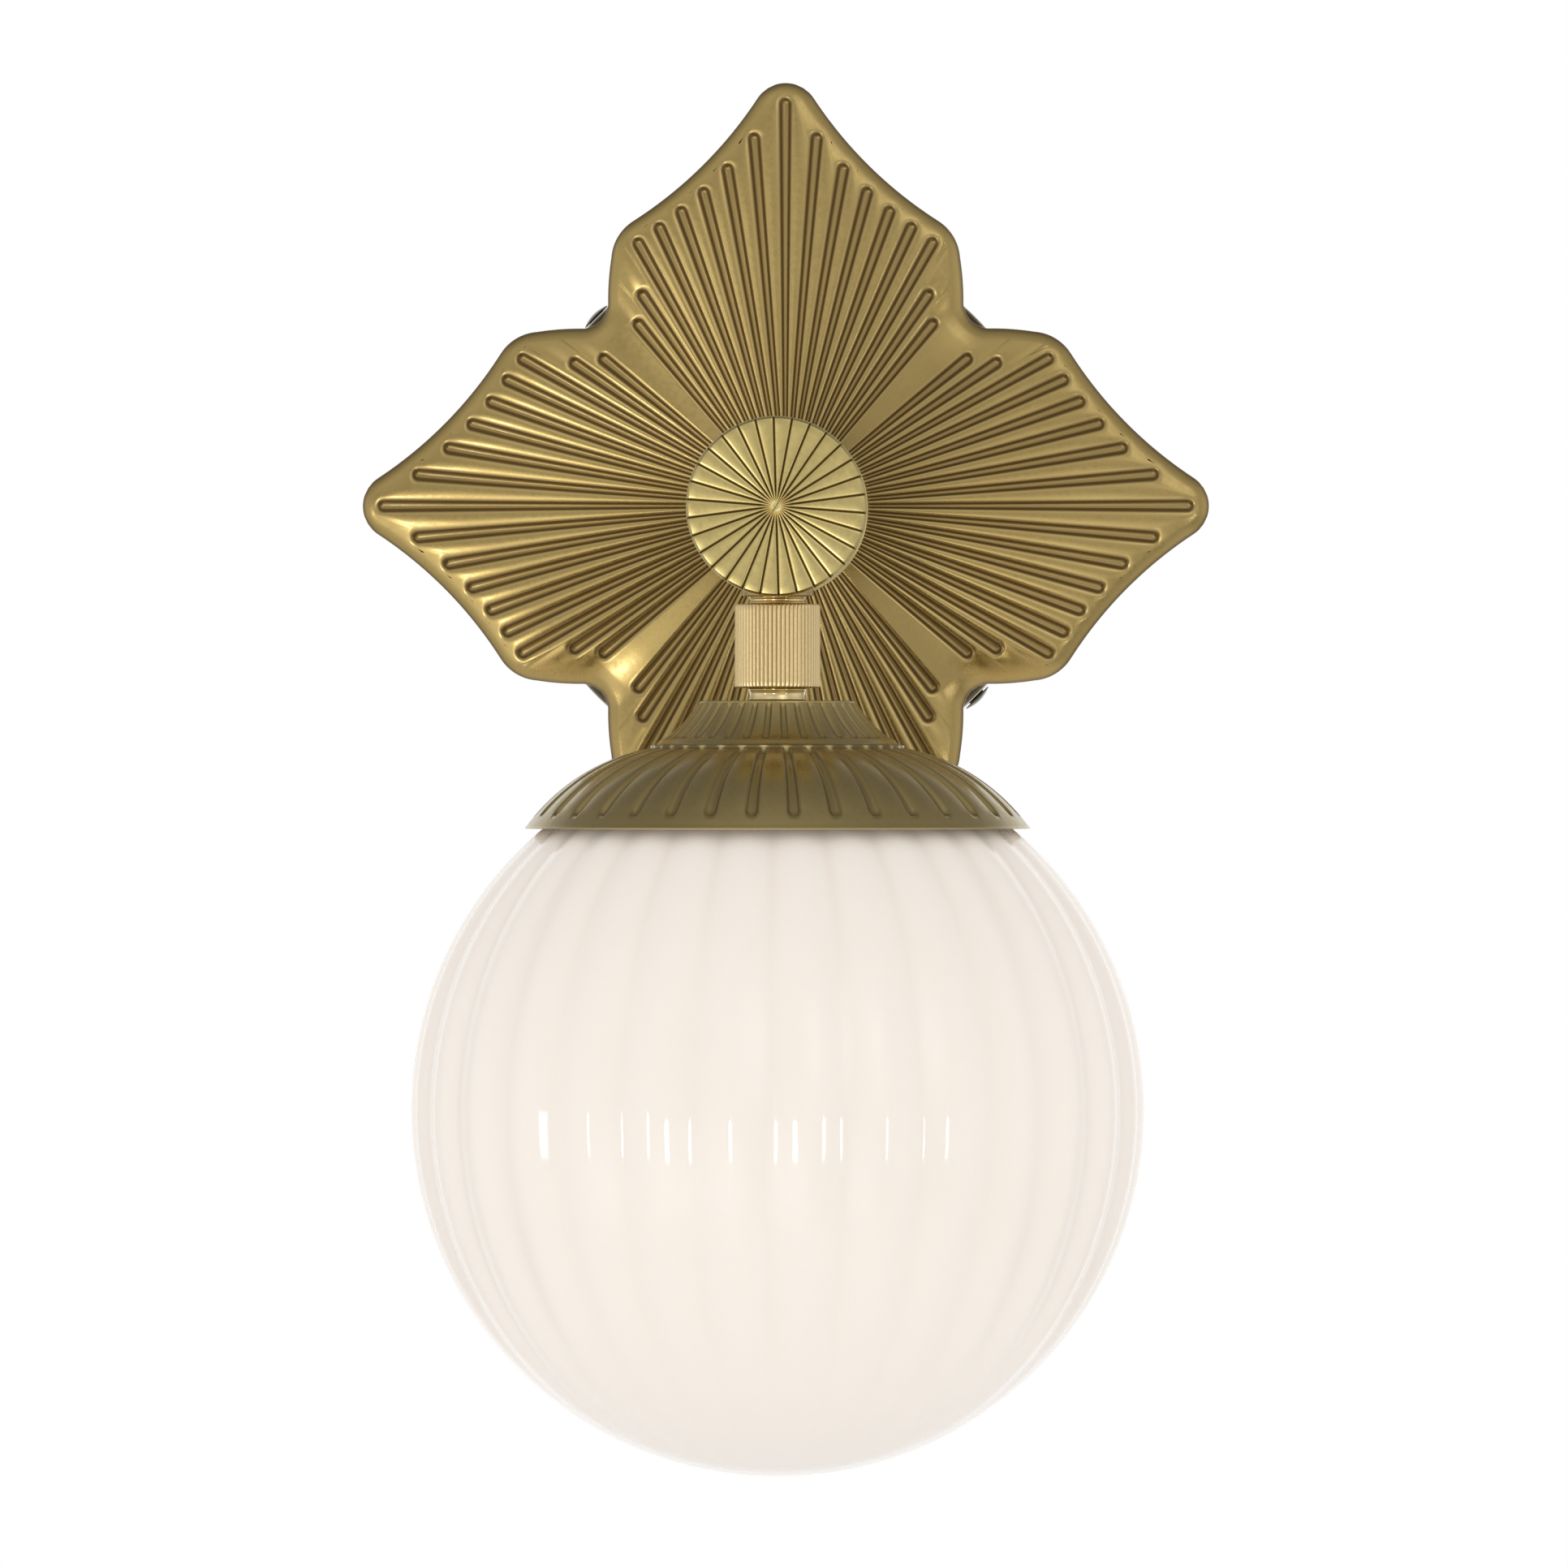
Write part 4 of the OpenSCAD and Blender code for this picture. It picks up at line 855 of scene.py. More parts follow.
def lay_plate(i, j):
    centre, across, end = (v[i] for v in plate_columns())
    on_flute = ~np.isnan(across)
    place = np.where(on_flute, across, 0.0)
    rim_angle = column_angle(end, centre, place, end)
    r, height = np.zeros(len(i)), np.zeros(len(i))
    for row, (radius, level) in enumerate(plate_rows(rim_angle, end)):
        r = np.where(j == row, radius, r)
        height = np.where(j == row, level, height)
    angle = np.where(j >= FIRST_RIM, rim_angle, column_angle(r, centre, place, end))
    turn = (angle + math.pi / 4) % (math.pi / 2) - math.pi / 4
    inset = inset_at(angle, r)
    half = flute_half(r, end)
    away = np.hypot(np.maximum(r - end, 0) / half, np.where(on_flute, np.abs(place), OFF_FLUTE))
    fade = smooth_step(*ROOT_FADE, r)
    front, side = j < FIRST_BACK, (j >= FIRST_BACK) & (j < FIRST_BACK + SIDE_ROWS)
    rolled = field_drop(r, turn, inset)
    fluted = (flute_drop(away, half) + land_drop(r, turn, half, end)) * fade
    height = np.where(front, height - rim_drop(inset) - fluted - rolled, height)
    # the side below the rim is as much lower as the rim is
    height = np.where(side, height * (1 - rolled / (PLATE_H - RIM_H)), height)
    # aged tone with painted shade in the flutes
    tone = hump(away, WALL_AT, WALL_W) * WALL_PATINA_AND_SHADE
    tone = (tone + (1 - smooth_step(*FLOOR_EDGE, away)) * FLOOR_PATINA_AND_SHADE) * fade
    # painted shade along the outline, on the side and on the back
    tone = tone + hump(inset, 0, OUTLINE_W) * OUTLINE_PAINTED_SHADE
    hollow = np.where(front, tone, np.where(side, SIDE_PAINTED_SHADE, BACK_PAINTED_SHADE))
    # pale lips: wear and a painted highlight
    wear_and_sheen = np.where(front, hump(away, LIP_AT, LIP_W) * LIP_RUB_AND_SHEEN, 0.0)
    bore = 1 - np.where(front, smooth_step(*BORE_FRONT, r), smooth_step(*BORE_BACK, r))
    x, z = r * np.cos(angle), r * np.sin(angle) + ARM.z * bore
    return x, PLATE_HIGH.y - height, z, hollow, wear_and_sheen


# %% [markdown]
# Behind the plate, four round bosses take the screws from inside the pan.

# %% Make the plate
BOSS_TURNS, BOSS_REACH = (45, 135, 225, 315), 34 * MM
BOSS_R, BOSS_BORE_R, BOSS_H = 4.2 * MM, 1.65 * MM, 3.4 * MM


def make_boss(turn):
    a = math.radians(turn)
    place = Vector((BOSS_REACH * math.cos(a), PLATE_HIGH.y, BOSS_REACH * math.sin(a)))
    return turned(ring_section(BOSS_BORE_R, BOSS_R, 0.0, BOSS_H), place, OUT, steps=32)


def make_backplate():
    plate = wrapped(len(plate_columns()[0]), PLATE_ROWS, lay_plate)
    bridge(plate)
    join(plate, *[make_boss(turn) for turn in BOSS_TURNS])
    clean(plate)
    complete(plate, "star_backplate", "aged_brass", "backplate", smooth=50)


make_backplate()

# %% [markdown]
# The disc on the hub has thirty sharp grooves like the rays of a sun. Seven columns follow each
# groove, at fixed distances from its middle line, so that it stays equally wide all the way out.

# %% Grooved disc
DISC_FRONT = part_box("hub_disc")[0].y
DISC_T = 3.4 * MM
DISC_GROOVES = 30
DISC_TURN = math.radians(1.57)
GROOVE_HALF = 0.24 * MM
GROOVE_DEPTH, RIM_CUT_DEPTH = 0.42 * MM, 0.3 * MM
GROOVE_ACROSS = (-1.5, -1.0, -0.55, 0.0, 0.55, 1.0, 1.5)
LAND_SHARES = (0.12, 0.3, 0.5, 0.7, 0.88)
LAND_CROWN = 0.05 * MM
# how far across its middle line a groove runs out, and where grooves and crowned lands fade in
GROOVE_EDGE, CUT_FADE, CROWN_FADE = 1.12, (0.8 * MM, 2.4 * MM), (2 * MM, 12 * MM)
FACE_ABOVE, RIM_ABOVE, RIM_OUTSIDE = 2.3 * MM, 2.0 * MM, 18.0 * MM
EYE_R = 0.8 * MM
EYE_FADE, EYE_MARK_FADE = (1.6 * MM, 3.6 * MM), (1.0 * MM, 1.6 * MM)
EYE_MARK_TURN, EYE_MARK_HALF, EYE_MARK_DEPTH = math.radians(58), 0.13 * MM, 0.10 * MM
# radius and height above the disc's back, from the middle of the front to the spigot behind
DISC_ROWS = [(r, 3.4) for r in (0.0, 0.25, 0.5, 0.8, 1.05, 1.3, 1.9, 2.6, 3.3, 5.5, 8, 11, 14,
                                16.6, 17.9)]
DISC_ROWS += [(18.15, 3.36), (18.25, 3.26), (18.55, 2.85), (18.68, 2.55), (18.7, 2.35), (18.7, 0.3),
              (18.6, 0.08), (18.4, 0.0), (13.9, 0.0), (13.75, -0.1), (13.75, -2.8), (13.6, -3.0),
              (10.6, -3.0), (10.4, -2.8), (10.4, -0.1), (10.2, 0.0), (5.0, 0.0), (0.0, 0.0)]


def lay_disc(i, j):
    per_groove = len(GROOVE_ACROSS) + len(LAND_SHARES)
    groove, place = i // per_groove, i % per_groove
    r, h = np.array(DISC_ROWS)[j].T * MM
    pitch = 2 * math.pi / DISC_GROOVES
    on_groove = place < len(GROOVE_ACROSS)
    across = np.array(GROOVE_ACROSS + (0.0,) * len(LAND_SHARES))[place]
    share = np.array((0.0,) * len(GROOVE_ACROSS) + LAND_SHARES)[place]
    safe = np.maximum(r, EYE_R)
    width = np.minimum(GROOVE_HALF, pitch * safe / 3.4)
    lip = 1.5 * width / safe
    swing = np.where(on_groove, across * width / safe, lip + (pitch - 2 * lip) * share)
    angle = (groove + 0.5) * pitch + DISC_TURN + swing
    face = h > FACE_ABOVE
    grooved = on_groove & face & (r > EYE_R)
    cut_in = np.where(grooved, np.clip(GROOVE_EDGE - np.abs(across), 0, 1), 0.0)
    cut_in = cut_in * smooth_step(*CUT_FADE, r)
    crown = np.where(on_groove, 1.0, (2 * share - 1) ** 2) * smooth_step(*CROWN_FADE, r)
    h = h - cut_in * GROOVE_DEPTH - crown * (face & (r > EYE_R)) * LAND_CROWN
    on_rim = on_groove & (r > RIM_OUTSIDE) & (h > RIM_ABOVE)
    r = r - np.where(on_rim, cut_in, 0.0) * RIM_CUT_DEPTH
    # the eye in the middle is rubbed pale and has a short slanted tool mark
    eye = (1 - smooth_step(*EYE_FADE, r)) * face
    mark = hump(r * np.sin(angle - EYE_MARK_TURN), 0, EYE_MARK_HALF)
    mark = mark * (1 - smooth_step(*EYE_MARK_FADE, r)) * face
    h = h - mark * EYE_MARK_DEPTH
    hollow = cut_in * (0.95 - 0.7 * eye) + mark * 0.8
    # the lips beside each groove get a pale tone, as wear and as a painted highlight
    wear_and_sheen = np.where(grooved, hump(np.abs(across), 1.35, 0.2) * 0.3, 0) + eye * 0.6 * (1 - mark)
    x, z = r * np.cos(angle), ARM.z + r * np.sin(angle)
    return x, DISC_FRONT + DISC_T - h, z, hollow, wear_and_sheen


def make_disc():
    columns = DISC_GROOVES * (len(GROOVE_ACROSS) + len(LAND_SHARES))
    disc = wrapped(columns, len(DISC_ROWS), lay_disc)
    complete(disc, "sunburst_disc", "disc_brass", "hub_disc", smooth=30)


make_disc()

# %% [markdown]
# The arm is a straight tube that stands in a turned flange on the plate. The flange has a foot, a
# cove and a bead, all in one half section. The drum at the tube's end is a cup. The stem's bore is
# drilled through it, and its seat for the stem, a second turned ring, is joined to it after that.

# %% Arm, flange and drum
BODY_LOW, BODY_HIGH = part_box("hub_body")
RING_LOW, RING_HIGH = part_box("hub_rear_ring")
FLANGE_LOW, FLANGE_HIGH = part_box("arm_flange")
TUBE_R, TUBE_BORE_R = (TUBE_HIGH.x - TUBE_LOW.x) / 2, 6.5 * MM
SLEEVE_R = TUBE_R + 0.05 * MM
STEM_BORE_R, SEAT_R, SET_SCREW_R = 5.05 * MM, 7.5 * MM, 1.25 * MM


def make_arm():
    section = ring_section(TUBE_BORE_R, TUBE_R, -TUBE_HIGH.y, -TUBE_LOW.y)
    tube = turned(section, ARM, OUT, bevel=0.1 * MM)
    complete(tube, "level_arm", "aged_brass", "arm_tube")


def make_flange():
    foot = -FLANGE_HIGH.y
    top = -FLANGE_LOW.y
    wide = (FLANGE_HIGH.x - FLANGE_LOW.x) / 2
    neck, bead = TUBE_R + 2 * MM, 1.9 * MM
    cove = wide - neck - 0.5 * MM
    section = [(SLEEVE_R, foot), (wide, foot), (wide, foot + 2 * MM)]
    section += section_arc(neck + cove, foot + 2 * MM + cove, cove, -90, -180, 12)
    section += section_arc(neck - 0.4 * MM, top - bead, bead, -76, 125, 14)
    section += [(SLEEVE_R, top - 0.8 * MM)]
    flange = turned(section, ARM, OUT, bevel=0.18 * MM)
    complete(flange, "coved_flange", "aged_brass", "arm_flange")


def make_drum():
    back, front = -BODY_HIGH.y, -BODY_LOW.y
    radius, wall = (BODY_HIGH.x - BODY_LOW.x) / 2, 3.4 * MM
    section = [(SLEEVE_R, back), (radius, back), (radius, front), (radius - wall, front),
               (radius - wall, back + wall), (SLEEVE_R, back + wall)]
    drum = turned(section, ARM, OUT, bevel=0.2 * MM)
    # the seat for the stem, from inside the drum's wall to its lowest point
    seat_at = Vector((0, STEM.y, ARM.z))
    section = ring_section(STEM_BORE_R, SEAT_R, radius - wall + 0.4 * MM, ARM.z - BODY_LOW.z)
    seat = turned(section, seat_at, -UP, steps=64)
    drill(drum, STEM_BORE_R, seat_at, -UP, 5 * MM, 20 * MM)
    set_screw_at = Vector((0, -(back + wall / 2), ARM.z))
    drill(drum, SET_SCREW_R, set_screw_at, -UP, TUBE_R - 1 * MM, 12 * MM)
    join(drum, seat)
    complete(drum, "hub_drum", "aged_brass", "hub_body")


def make_drum_ring():
    low, high = -RING_HIGH.y, -RING_LOW.y
    wide, slope = (RING_HIGH.x - RING_LOW.x) / 2, 1 * MM
    section = [(SLEEVE_R, low), (wide - slope, low), (wide, low + slope), (wide, high),
               (SLEEVE_R, high)]
    ring = turned(section, ARM, OUT)
    complete(ring, "drum_back_ring", "disc_brass", "hub_rear_ring")


make_arm()
make_flange()
make_drum()
make_drum_ring()

# %% [markdown]
# Two screws hold the pan from its sides. Each has a low round head with a slot, of dark bronze, and
# only the head shows, in a notch of the star. The head's dome is part of the half section.

# %% Side screws
SCREW_R, SCREW_HEAD_R, SCREW_RISE = 2 * MM, 3.4 * MM, 0.75 * MM
SCREW_START, SCREW_HEAD_AT = 48.7 * MM, 57.8 * MM
SLOT_SIZE = (0.8 * MM, 9 * MM, 1.0 * MM)


def make_side_screw(name, node_name, turn):
    low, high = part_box(node_name)
    a = math.radians(turn)
    axis = Vector((math.cos(a), 0, math.sin(a)))
    centre = Vector((0, (low.y + high.y) / 2, 0))
    edge = SCREW_HEAD_AT + 0.2 * MM
    crown = (SCREW_HEAD_R ** 2 + SCREW_RISE ** 2) / (2 * SCREW_RISE)
    spread = math.degrees(math.asin(SCREW_HEAD_R / crown))
    section = [(0.0, SCREW_START), (SCREW_R, SCREW_START), (SCREW_R, SCREW_HEAD_AT),
               (SCREW_HEAD_R, SCREW_HEAD_AT)]
    section += section_arc(0.0, edge + SCREW_RISE - crown, crown, 90 - spread, 90, 8)
    screw = turned(section, centre, axis, steps=64, bevel=0.12 * MM, closed=False)
    clear_selection()
    bpy.ops.mesh.primitive_cube_add(size=1, location=centre + axis * (edge + SCREW_RISE),
                                    rotation=axis.to_track_quat("Z", "Y").to_euler(),
                                    scale=SLOT_SIZE)
    cut(screw, bpy.context.object)
    complete(screw, name, "screw_bronze", node_name)


make_side_screw("side_screw_above", "side_screw_upper", 135)
make_side_screw("side_screw_below", "side_screw_lower", 315)

# %% [markdown]
# The ferrule is a short sleeve with sixty fine flutes that run out at its ends. It is the
# palest piece of brass. The two collars above and below it are polished and slightly hollow, so
# they show the studio as a row of bright spots.

# %% Ferrule and collars
FERRULE_R = (FERRULE_HIGH.x - FERRULE_LOW.x) / 2
FERRULE_H = FERRULE_HIGH.z - FERRULE_LOW.z
FERRULE_FLUTES = 60
FERRULE_DEPTH = 0.26 * MM
STEPS_PER_FLUTE = 8
BORE_R = 5.06 * MM
# share of the outer radius, height in millimetres, and how deep the flutes run there
FERRULE_ROWS = [(BORE_R / FERRULE_R, 0.4, 0), (BORE_R / FERRULE_R + 0.04, 0.0, 0), (0.94, 0.0, 0),
                (0.975, 0.04, 0.3), (0.992, 0.16, 0.8), (1.0, 0.34, 1), (1.0, 1.2, 1),
                (1.0, 8.7, 1)]
# the upper half mirrors the lower one
FERRULE_ROWS += [(share, FERRULE_H / MM - h, deep) for share, h, deep in FERRULE_ROWS[-2::-1]]


def lay_ferrule(i, j):
    share, h, fluted = np.array(FERRULE_ROWS)[j].T
    phase = (i % STEPS_PER_FLUTE) / STEPS_PER_FLUTE
    dip = 1 - np.abs(np.sin(math.pi * phase))
    r = FERRULE_R * share - FERRULE_DEPTH * fluted * dip
    angle = 2 * math.pi * i / (FERRULE_FLUTES * STEPS_PER_FLUTE)
    hollow = fluted * np.clip(dip * 1.6 - 0.6, 0, 1) * 0.85
    # the crests between the flutes get a pale tone, as wear and as a painted highlight
    wear_and_sheen = np.where(dip < 0.2, 0.25, 0.0)
    return r * np.cos(angle), STEM.y + r * np.sin(angle), FERRULE_LOW.z + h * MM, hollow, wear_and_sheen


def make_ferrule():
    ferrule = wrapped(FERRULE_FLUTES * STEPS_PER_FLUTE, len(FERRULE_ROWS), lay_ferrule)
    bridge(ferrule)
    complete(ferrule, "fluted_ferrule", "ferrule_brass", "ferrule", smooth=75)


def make_collar(name, node_name):
    """A polished ring with a shallow cove round its middle."""
    low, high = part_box(node_name)
    r, tall = (high.x - low.x) / 2, high.z - low.z
    edge, cove, steps = 0.3 * MM, 0.25 * MM, 6
    arc = [(r - cove * math.sin(math.pi * t / steps), edge + (tall - 2 * edge) * t / steps)
           for t in range(steps + 1)]
    section = [(BORE_R, 0.0), (r - edge / 2, 0.0)] + arc + [(r - edge / 2, tall), (BORE_R, tall)]
    collar = turned(section, STEM + UP * low.z, UP, bevel=0.08 * MM)
    complete(collar, name, "polished_brass", node_name)


make_ferrule()
make_collar("collar_above_ferrule", "upper_collar")
make_collar("collar_below_ferrule", "lower_collar")

# %% [markdown]
# The cap is spun from sheet brass in two tiers: a flare that hollows outwards from a flat top, and
# a dome below it. The half section is two arcs, one hollow and one round.

# %% Half section of the cap
CAP_TOP_R, RIDGE_R, RIM_R = 16.2 * MM, 26.4 * MM, (CAP_HIGH.x - CAP_LOW.x) / 2
TIER_H = 9.2 * MM
CAP_H = CAP_HIGH.z - CAP_LOW.z
RIDGE_H = CAP_H - TIER_H
DOME_R, FLARE_R = 41.4 * MM, 25.7 * MM
DOME_STEPS, FLARE_STEPS = 40, 29
SHEET_T = 1.2 * MM
CAP_FLUTES = 36


def arc_between(a, b, radius, side, steps):
    """Points and outward normals on an arc from a to b. side is 1 for a round arc, whose centre
    lies inside, and -1 for a hollow one."""
    a, b = np.array(a), np.array(b)
    chord = b - a
    half = np.hypot(*chord) / 2
    across = np.array([chord[1], -chord[0]]) / (2 * half) * math.sqrt(radius ** 2 - half ** 2)
    centre = (a + b) / 2 + side * across
    start, stop = (math.atan2(*(p - centre)[::-1]) for p in (a, b))
    turn = (stop - start + math.pi) % (2 * math.pi) - math.pi
    angles = start + turn * np.linspace(0, 1, steps)
    normals = np.stack([np.cos(angles), np.sin(angles)], axis=1)
    return centre + radius * normals, side * normals


def run_along(points):
    """How far each point lies along the line, from its first point."""
    return np.concatenate([[0], np.cumsum(np.hypot(*np.diff(points, axis=0).T))])


FLARE = arc_between((CAP_TOP_R, CAP_H), (RIDGE_R - 0.9 * MM, RIDGE_H), FLARE_R, -1, FLARE_STEPS)
DOME = arc_between((RIDGE_R, RIDGE_H - 0.6 * MM), (RIM_R, 0.0), DOME_R, 1, DOME_STEPS)
FLARE_LONG, DOME_LONG = run_along(FLARE[0])[-1], run_along(DOME[0])[-1]
print("flare", round(FLARE_LONG / MM, 1), "mm long, dome", round(DOME_LONG / MM, 1), "mm long")

# %% [markdown]
# The rows of the cap follow the sheet: up the bore, over the flat top, down both tiers, round the
# rim, and back up the inside with fewer rows.

# %% Rows of the cap
# radius and depth below the top, in millimetres
TOP_ROWS = [(5.2, 1.2), (5.06, 0.96), (5.06, 0.15), (5.2, 0), (10, 0), (15.85, 0), (16.1, 0.04),
            (16.2, 0.16), (16.18, 0.6)]
# inwards from the ridge's radius and down from its height, in millimetres
RIDGE_ROWS = [(0.25, -0.02), (0.02, 0.12), (0.02, 0.42)]


def plain_rows(places):
    """Rows without flutes, which need no normal."""
    return [(r, h, 0, 0, 0, 0) for r, h in places]


def tier_rows(arc, tier):
    return [(*point, *normal, tier, run) for point, normal, run in zip(*arc, run_along(arc[0]))]


def inner_rows(arc, low, high):
    """The inside of the sheet, with fewer rows, on the way back from the arc's end."""
    points, normals = arc
    inside = (points - normals * SHEET_T)[::-3]
    return plain_rows([(r, min(max(h, low), high)) for r, h in inside])


def cap_rows():
    """Every row of the cap: radius, height, outward normal, tier (0 plain, 1 flare, 2 dome), and
    how far it is along the tier."""
    rows = plain_rows([(r * MM, CAP_H - depth * MM) for r, depth in TOP_ROWS])
    rows += tier_rows(FLARE, 1)[1:]
    rows += plain_rows([(RIDGE_R - d * MM, RIDGE_H - depth * MM) for d, depth in RIDGE_ROWS])
    rows += tier_rows(DOME, 2)[:-1]
    rows += plain_rows([(RIM_R - 0.06 * MM, 0.22 * MM), (RIM_R - 0.16 * MM, 0.0)])
    rows += inner_rows(DOME, 0.0, CAP_H)
    rows += plain_rows([(RIDGE_R - SHEET_T - 0.6 * MM, RIDGE_H - SHEET_T)])
    return np.array(rows + inner_rows(FLARE, 0.0, CAP_H - SHEET_T))


print("cap grid:", len(cap_rows()), "rows")

# %% [markdown]
# Both tiers carry thirty-six pressed flutes. Each widens a little towards the rim, and both of its
# ends are round, so the depth at a corner follows from its distance to the flute's middle line.

# %% Lay the cap
CAP_ACROSS = (-1.25, -1.0, -0.82, -0.62, -0.32, 0.0, 0.32, 0.62, 0.82, 1.0, 1.25)
CAP_COLUMNS = len(CAP_ACROSS) + 1
# half widths at the upper and the lower end of a tier
FLARE_FLUTE_HALF, DOME_FLUTE_HALF = (0.62 * MM, 0.85 * MM), (0.85 * MM, 1.5 * MM)
FLARE_FLUTE_DEPTH, DOME_FLUTE_DEPTH = 0.50 * MM, 0.95 * MM
FLARE_ENDS, DOME_ENDS = (0.9 * MM, FLARE_LONG - 3.3 * MM), (1.1 * MM, DOME_LONG - 5.0 * MM)
CAP_TROUGH_EDGE = (0.45, 1.12)
BEAD_AT, BEAD_W, BEAD_H = 1.7 * MM, 0.75 * MM, 0.32 * MM
# the flutes' walls get aged tone together with painted shade
CAP_FLOOR_TONE, CAP_WALL_PATINA_AND_SHADE, CAP_WALL_AT, CAP_WALL_W = 0.10, 0.45, 0.92, 0.16
# the flutes' lips get a pale tone, as wear and as a painted highlight
CAP_LIP_RUB_AND_SHEEN, CAP_LIP_AT, CAP_LIP_W = 0.20, 1.22, 0.12
# the ridge's crease gets aged tone with painted shade, and each flute leaves a painted highlight
# spot on it
RIDGE_PATINA_AND_SHADE, SPOT_PAINTED_HIGHLIGHT, SPOT_W = 0.8, 0.6, 0.45


def by_tier(tier, flare, dome):
    return np.where(tier == 1, flare, dome)


def lay_cap(i, j):
    r, h, nr, nh, tier, run = cap_rows()[j].T
    flute, place = i // CAP_COLUMNS, i % CAP_COLUMNS
    pitch = 2 * math.pi / CAP_FLUTES
    across = np.array(CAP_ACROSS + (0.0,))[place]
    on_flute, on_tier = place < len(CAP_ACROSS), tier > 0
    share = np.where(on_tier, run / by_tier(tier, FLARE_LONG, DOME_LONG), 1.0)
    half = by_tier(tier, np.interp(share, (0, 1), FLARE_FLUTE_HALF),
                   np.interp(share, (0, 1), DOME_FLUTE_HALF))
    safe = np.maximum(r, CAP_TOP_R)
    half = np.minimum(half, safe * pitch / 2 / 1.32)
    on_top = ~on_tier & (r < RIDGE_R - 1 * MM) & (h > RIDGE_H)
    half = np.where(on_top, FLARE_FLUTE_HALF[0], half)
    angle = (flute + 0.5) * pitch + np.where(on_flute, across * half / safe, pitch / 2)
    # distance from the flute's middle line in half widths, round both of its ends
    first, last = (by_tier(tier, *ends) for ends in zip(FLARE_ENDS, DOME_ENDS))
    past = np.maximum(np.maximum(first - run, run - last), 0) / half
    away = np.hypot(past, np.where(on_flute, np.abs(across), OFF_FLUTE))
    trough = np.where(on_tier, 1 - smooth_step(*CAP_TROUGH_EDGE, away), 0.0)
    bead = by_tier(tier, hump(run, FLARE_LONG - BEAD_AT, BEAD_W), 0.0) * BEAD_H
    rise = bead - trough * by_tier(tier, FLARE_FLUTE_DEPTH, DOME_FLUTE_DEPTH)
    r, h = r + nr * rise, h + nh * rise
    # aged tone and painted shade along the flutes' walls and in the crease of the ridge, with a
    # painted highlight spot where each flute meets the ridge
    ridge = np.abs(r - RIDGE_R) < 0.5 * MM
    ridge = ridge & (h > RIDGE_H - 0.8 * MM) & (h < RIDGE_H + 0.1 * MM)
    # painted highlight: a pale spot where each flute meets the ridge
    highlight_spot = np.where(ridge & on_flute, hump(across, 0, SPOT_W), 0.0)
    wall = np.where(on_tier, hump(away, CAP_WALL_AT, CAP_WALL_W), 0.0)
    hollow = trough * CAP_FLOOR_TONE + wall * CAP_WALL_PATINA_AND_SHADE
    hollow = np.where(ridge, RIDGE_PATINA_AND_SHADE, hollow) * (1 - highlight_spot)
    # the lips get a pale tone, as wear and as a painted highlight, and the edge of the rim is paler
    lip = np.where(on_tier, hump(away, CAP_LIP_AT, CAP_LIP_W), 0.0)
    rim_line = np.where((r > RIM_R - 0.4 * MM) & (h < 0.5 * MM), 1.0, 0.0)
    wear_and_sheen = lip * CAP_LIP_RUB_AND_SHEEN + highlight_spot * SPOT_PAINTED_HIGHLIGHT + rim_line
    return r * np.cos(angle), STEM.y + r * np.sin(angle), CAP_LOW.z + h, hollow, wear_and_sheen


def make_cap():
    cap = wrapped(CAP_FLUTES * CAP_COLUMNS, len(cap_rows()), lay_cap)
    bridge(cap)
    complete(cap, "two_tier_cap", "dark_brass", "fitter_cap", smooth=50)


make_cap()

# %% [markdown]
# The globe is blown into a mould with thirty ribs. Seen from above, each rib is a shallow arch, and
# two arches meet in a narrow valley. The ribs fade towards the bottom, where the mould closes.
# The wall is thick, and the inside is round.

# %% Globe
LOBES = 30
LOBE_STEPS = 14
LOBE_DEPTH = 1.3 * MM
# how round a valley is, how much painted shade it gets, and how much more painted shade towards its
# upper end, near the cap
VALLEY_ROUND, VALLEY_PAINTED_SHADE, VALLEY_TOP_PAINTED_SHADE, VALLEY_W = 0.06, 0.16, 0.5, 0.34
GLASS_T = 3 * MM
NECK_R, GLOBE_SHOULDER_R = 39 * MM, 46.5 * MM
NECK_TOP = GLOBE_HIGH.z - GLOBE_Z
BULGE_ROWS, INSIDE_ROWS = 84, 30


def arc_heights(radius, start, stop, steps):
    angles = np.linspace(start, stop, steps)
    return [(radius * math.cos(a), radius * math.sin(a), a) for a in angles]


def globe_rows():
    """Radius, height from the globe's centre and how strong the ribs are, top of the neck first."""
    start = math.acos(GLOBE_SHOULDER_R / GLOBE_R)
    shoulder_h = GLOBE_R * math.sin(start)
    neck_low = shoulder_h + 0.5 * MM
    bore_r, inner_r = NECK_R - GLASS_T, GLOBE_R - GLASS_T
    rows = [(bore_r, NECK_TOP - 0.4 * MM, 0), (bore_r + 0.5 * MM, NECK_TOP, 0),
            (NECK_R - 0.5 * MM, NECK_TOP, 0), (NECK_R, NECK_TOP - 0.5 * MM, 0),
            (NECK_R, neck_low + 0.8 * MM, 0), (NECK_R + 0.8 * MM, neck_low, 0),
            (NECK_R + 3 * MM, neck_low - 0.05 * MM, 0.1),
            (GLOBE_SHOULDER_R - 1.2 * MM, shoulder_h + 0.3 * MM, 0.5)]
    for r, h, a in arc_heights(GLOBE_R, start, -math.pi / 2, BULGE_ROWS):
        rows.append((r, h, 0.05 + 0.95 * float(smooth_step(-1.2, -0.45, a))))
    ceiling = shoulder_h - GLASS_T
    for r, h, a in arc_heights(inner_r, -math.pi / 2, math.asin(ceiling / inner_r), INSIDE_ROWS):
        rows.append((r, h, 0))
    return np.array(rows + [(bore_r + 1.0 * MM, ceiling, 0), (bore_r, ceiling + 1.0 * MM, 0)])


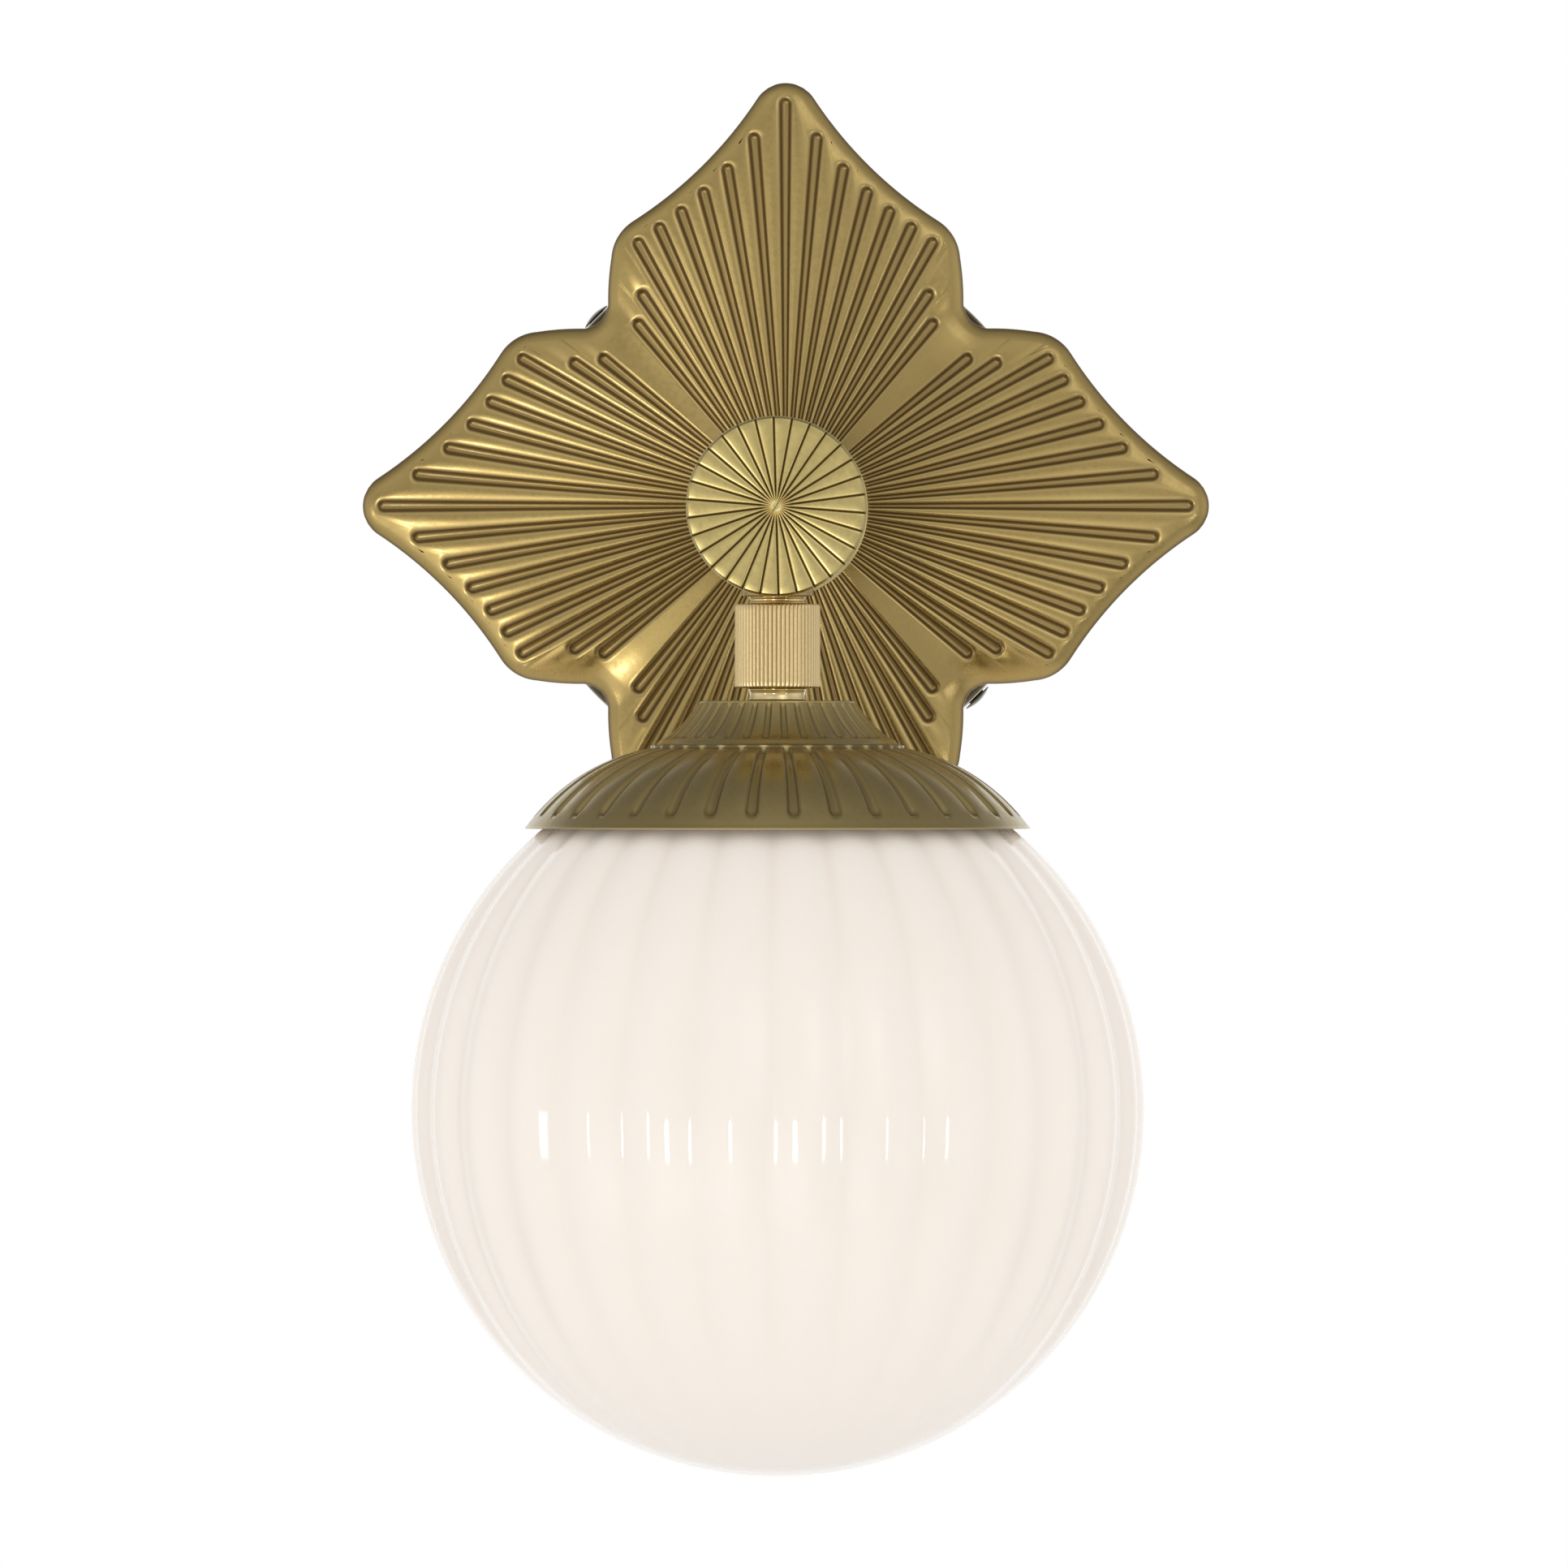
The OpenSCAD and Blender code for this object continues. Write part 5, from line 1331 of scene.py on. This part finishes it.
def lay_globe(i, j):
    r, h, ribbed = globe_rows()[j].T
    angle = 2 * math.pi * i / (LOBES * LOBE_STEPS)
    swing = np.cos(angle * LOBES / 2)
    # a soft arch: half way between a wave and a row of round rods
    least = math.sqrt(VALLEY_ROUND)
    rods = (np.sqrt(swing ** 2 + VALLEY_ROUND) - least) / (math.sqrt(1 + VALLEY_ROUND) - least)
    r = r * (1 - ribbed * LOBE_DEPTH / GLOBE_R * (1 - (rods + swing ** 2) / 2))
    # painted shade: the valleys between the ribs are darker, more so towards the cap
    tone = VALLEY_PAINTED_SHADE + VALLEY_TOP_PAINTED_SHADE * smooth_step(0.3 * GLOBE_R, 0.75 * GLOBE_R, h)
    hollow = ribbed * tone * hump(swing, 0, VALLEY_W)
    return r * np.cos(angle), STEM.y + r * np.sin(angle), GLOBE_Z + h, hollow, np.zeros(len(i))


# %% [markdown]
# The globe hangs by three lugs on its neck, each a short ledge. They are joined to it last.

# %% Lugs and globe
LUG_W, LUG_H, LUG_SPAN = 2.6 * MM, 1.6 * MM, 26
LUG_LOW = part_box("glass_ring")[1].z - LUG_H
LUG_TURNS = (0, 120, 240)


def make_lug(turn):
    """A short ledge on the neck: a small upright face is spun through the angle of the ledge."""
    a = math.radians(turn - LUG_SPAN / 2)
    way = Vector((math.cos(a), math.sin(a), 0))
    lug = new_point(STEM + way * (NECK_R - 1 * MM) + UP * LUG_LOW)
    for step in (way * (LUG_W + 1 * MM), UP * LUG_H):
        bpy.ops.mesh.select_all(action="SELECT")
        bpy.ops.mesh.extrude_region_move(TRANSFORM_OT_translate={"value": step})
    bpy.ops.mesh.select_all(action="SELECT")
    bpy.ops.mesh.spin(steps=8, angle=math.radians(LUG_SPAN), center=STEM, axis=UP)
    clean(lug)
    return lug


def make_globe():
    globe = wrapped(LOBES * LOBE_STEPS, len(globe_rows()), lay_globe)
    # outside and inside end at two poles, and a bare edge is left between them
    edit(globe)
    bpy.ops.mesh.delete_loose(use_verts=True, use_edges=True, use_faces=False)
    bridge(globe)
    join(globe, *[make_lug(turn) for turn in LUG_TURNS])
    complete(globe, "ribbed_globe", "opal_glass", "globe", smooth=80)


make_globe()
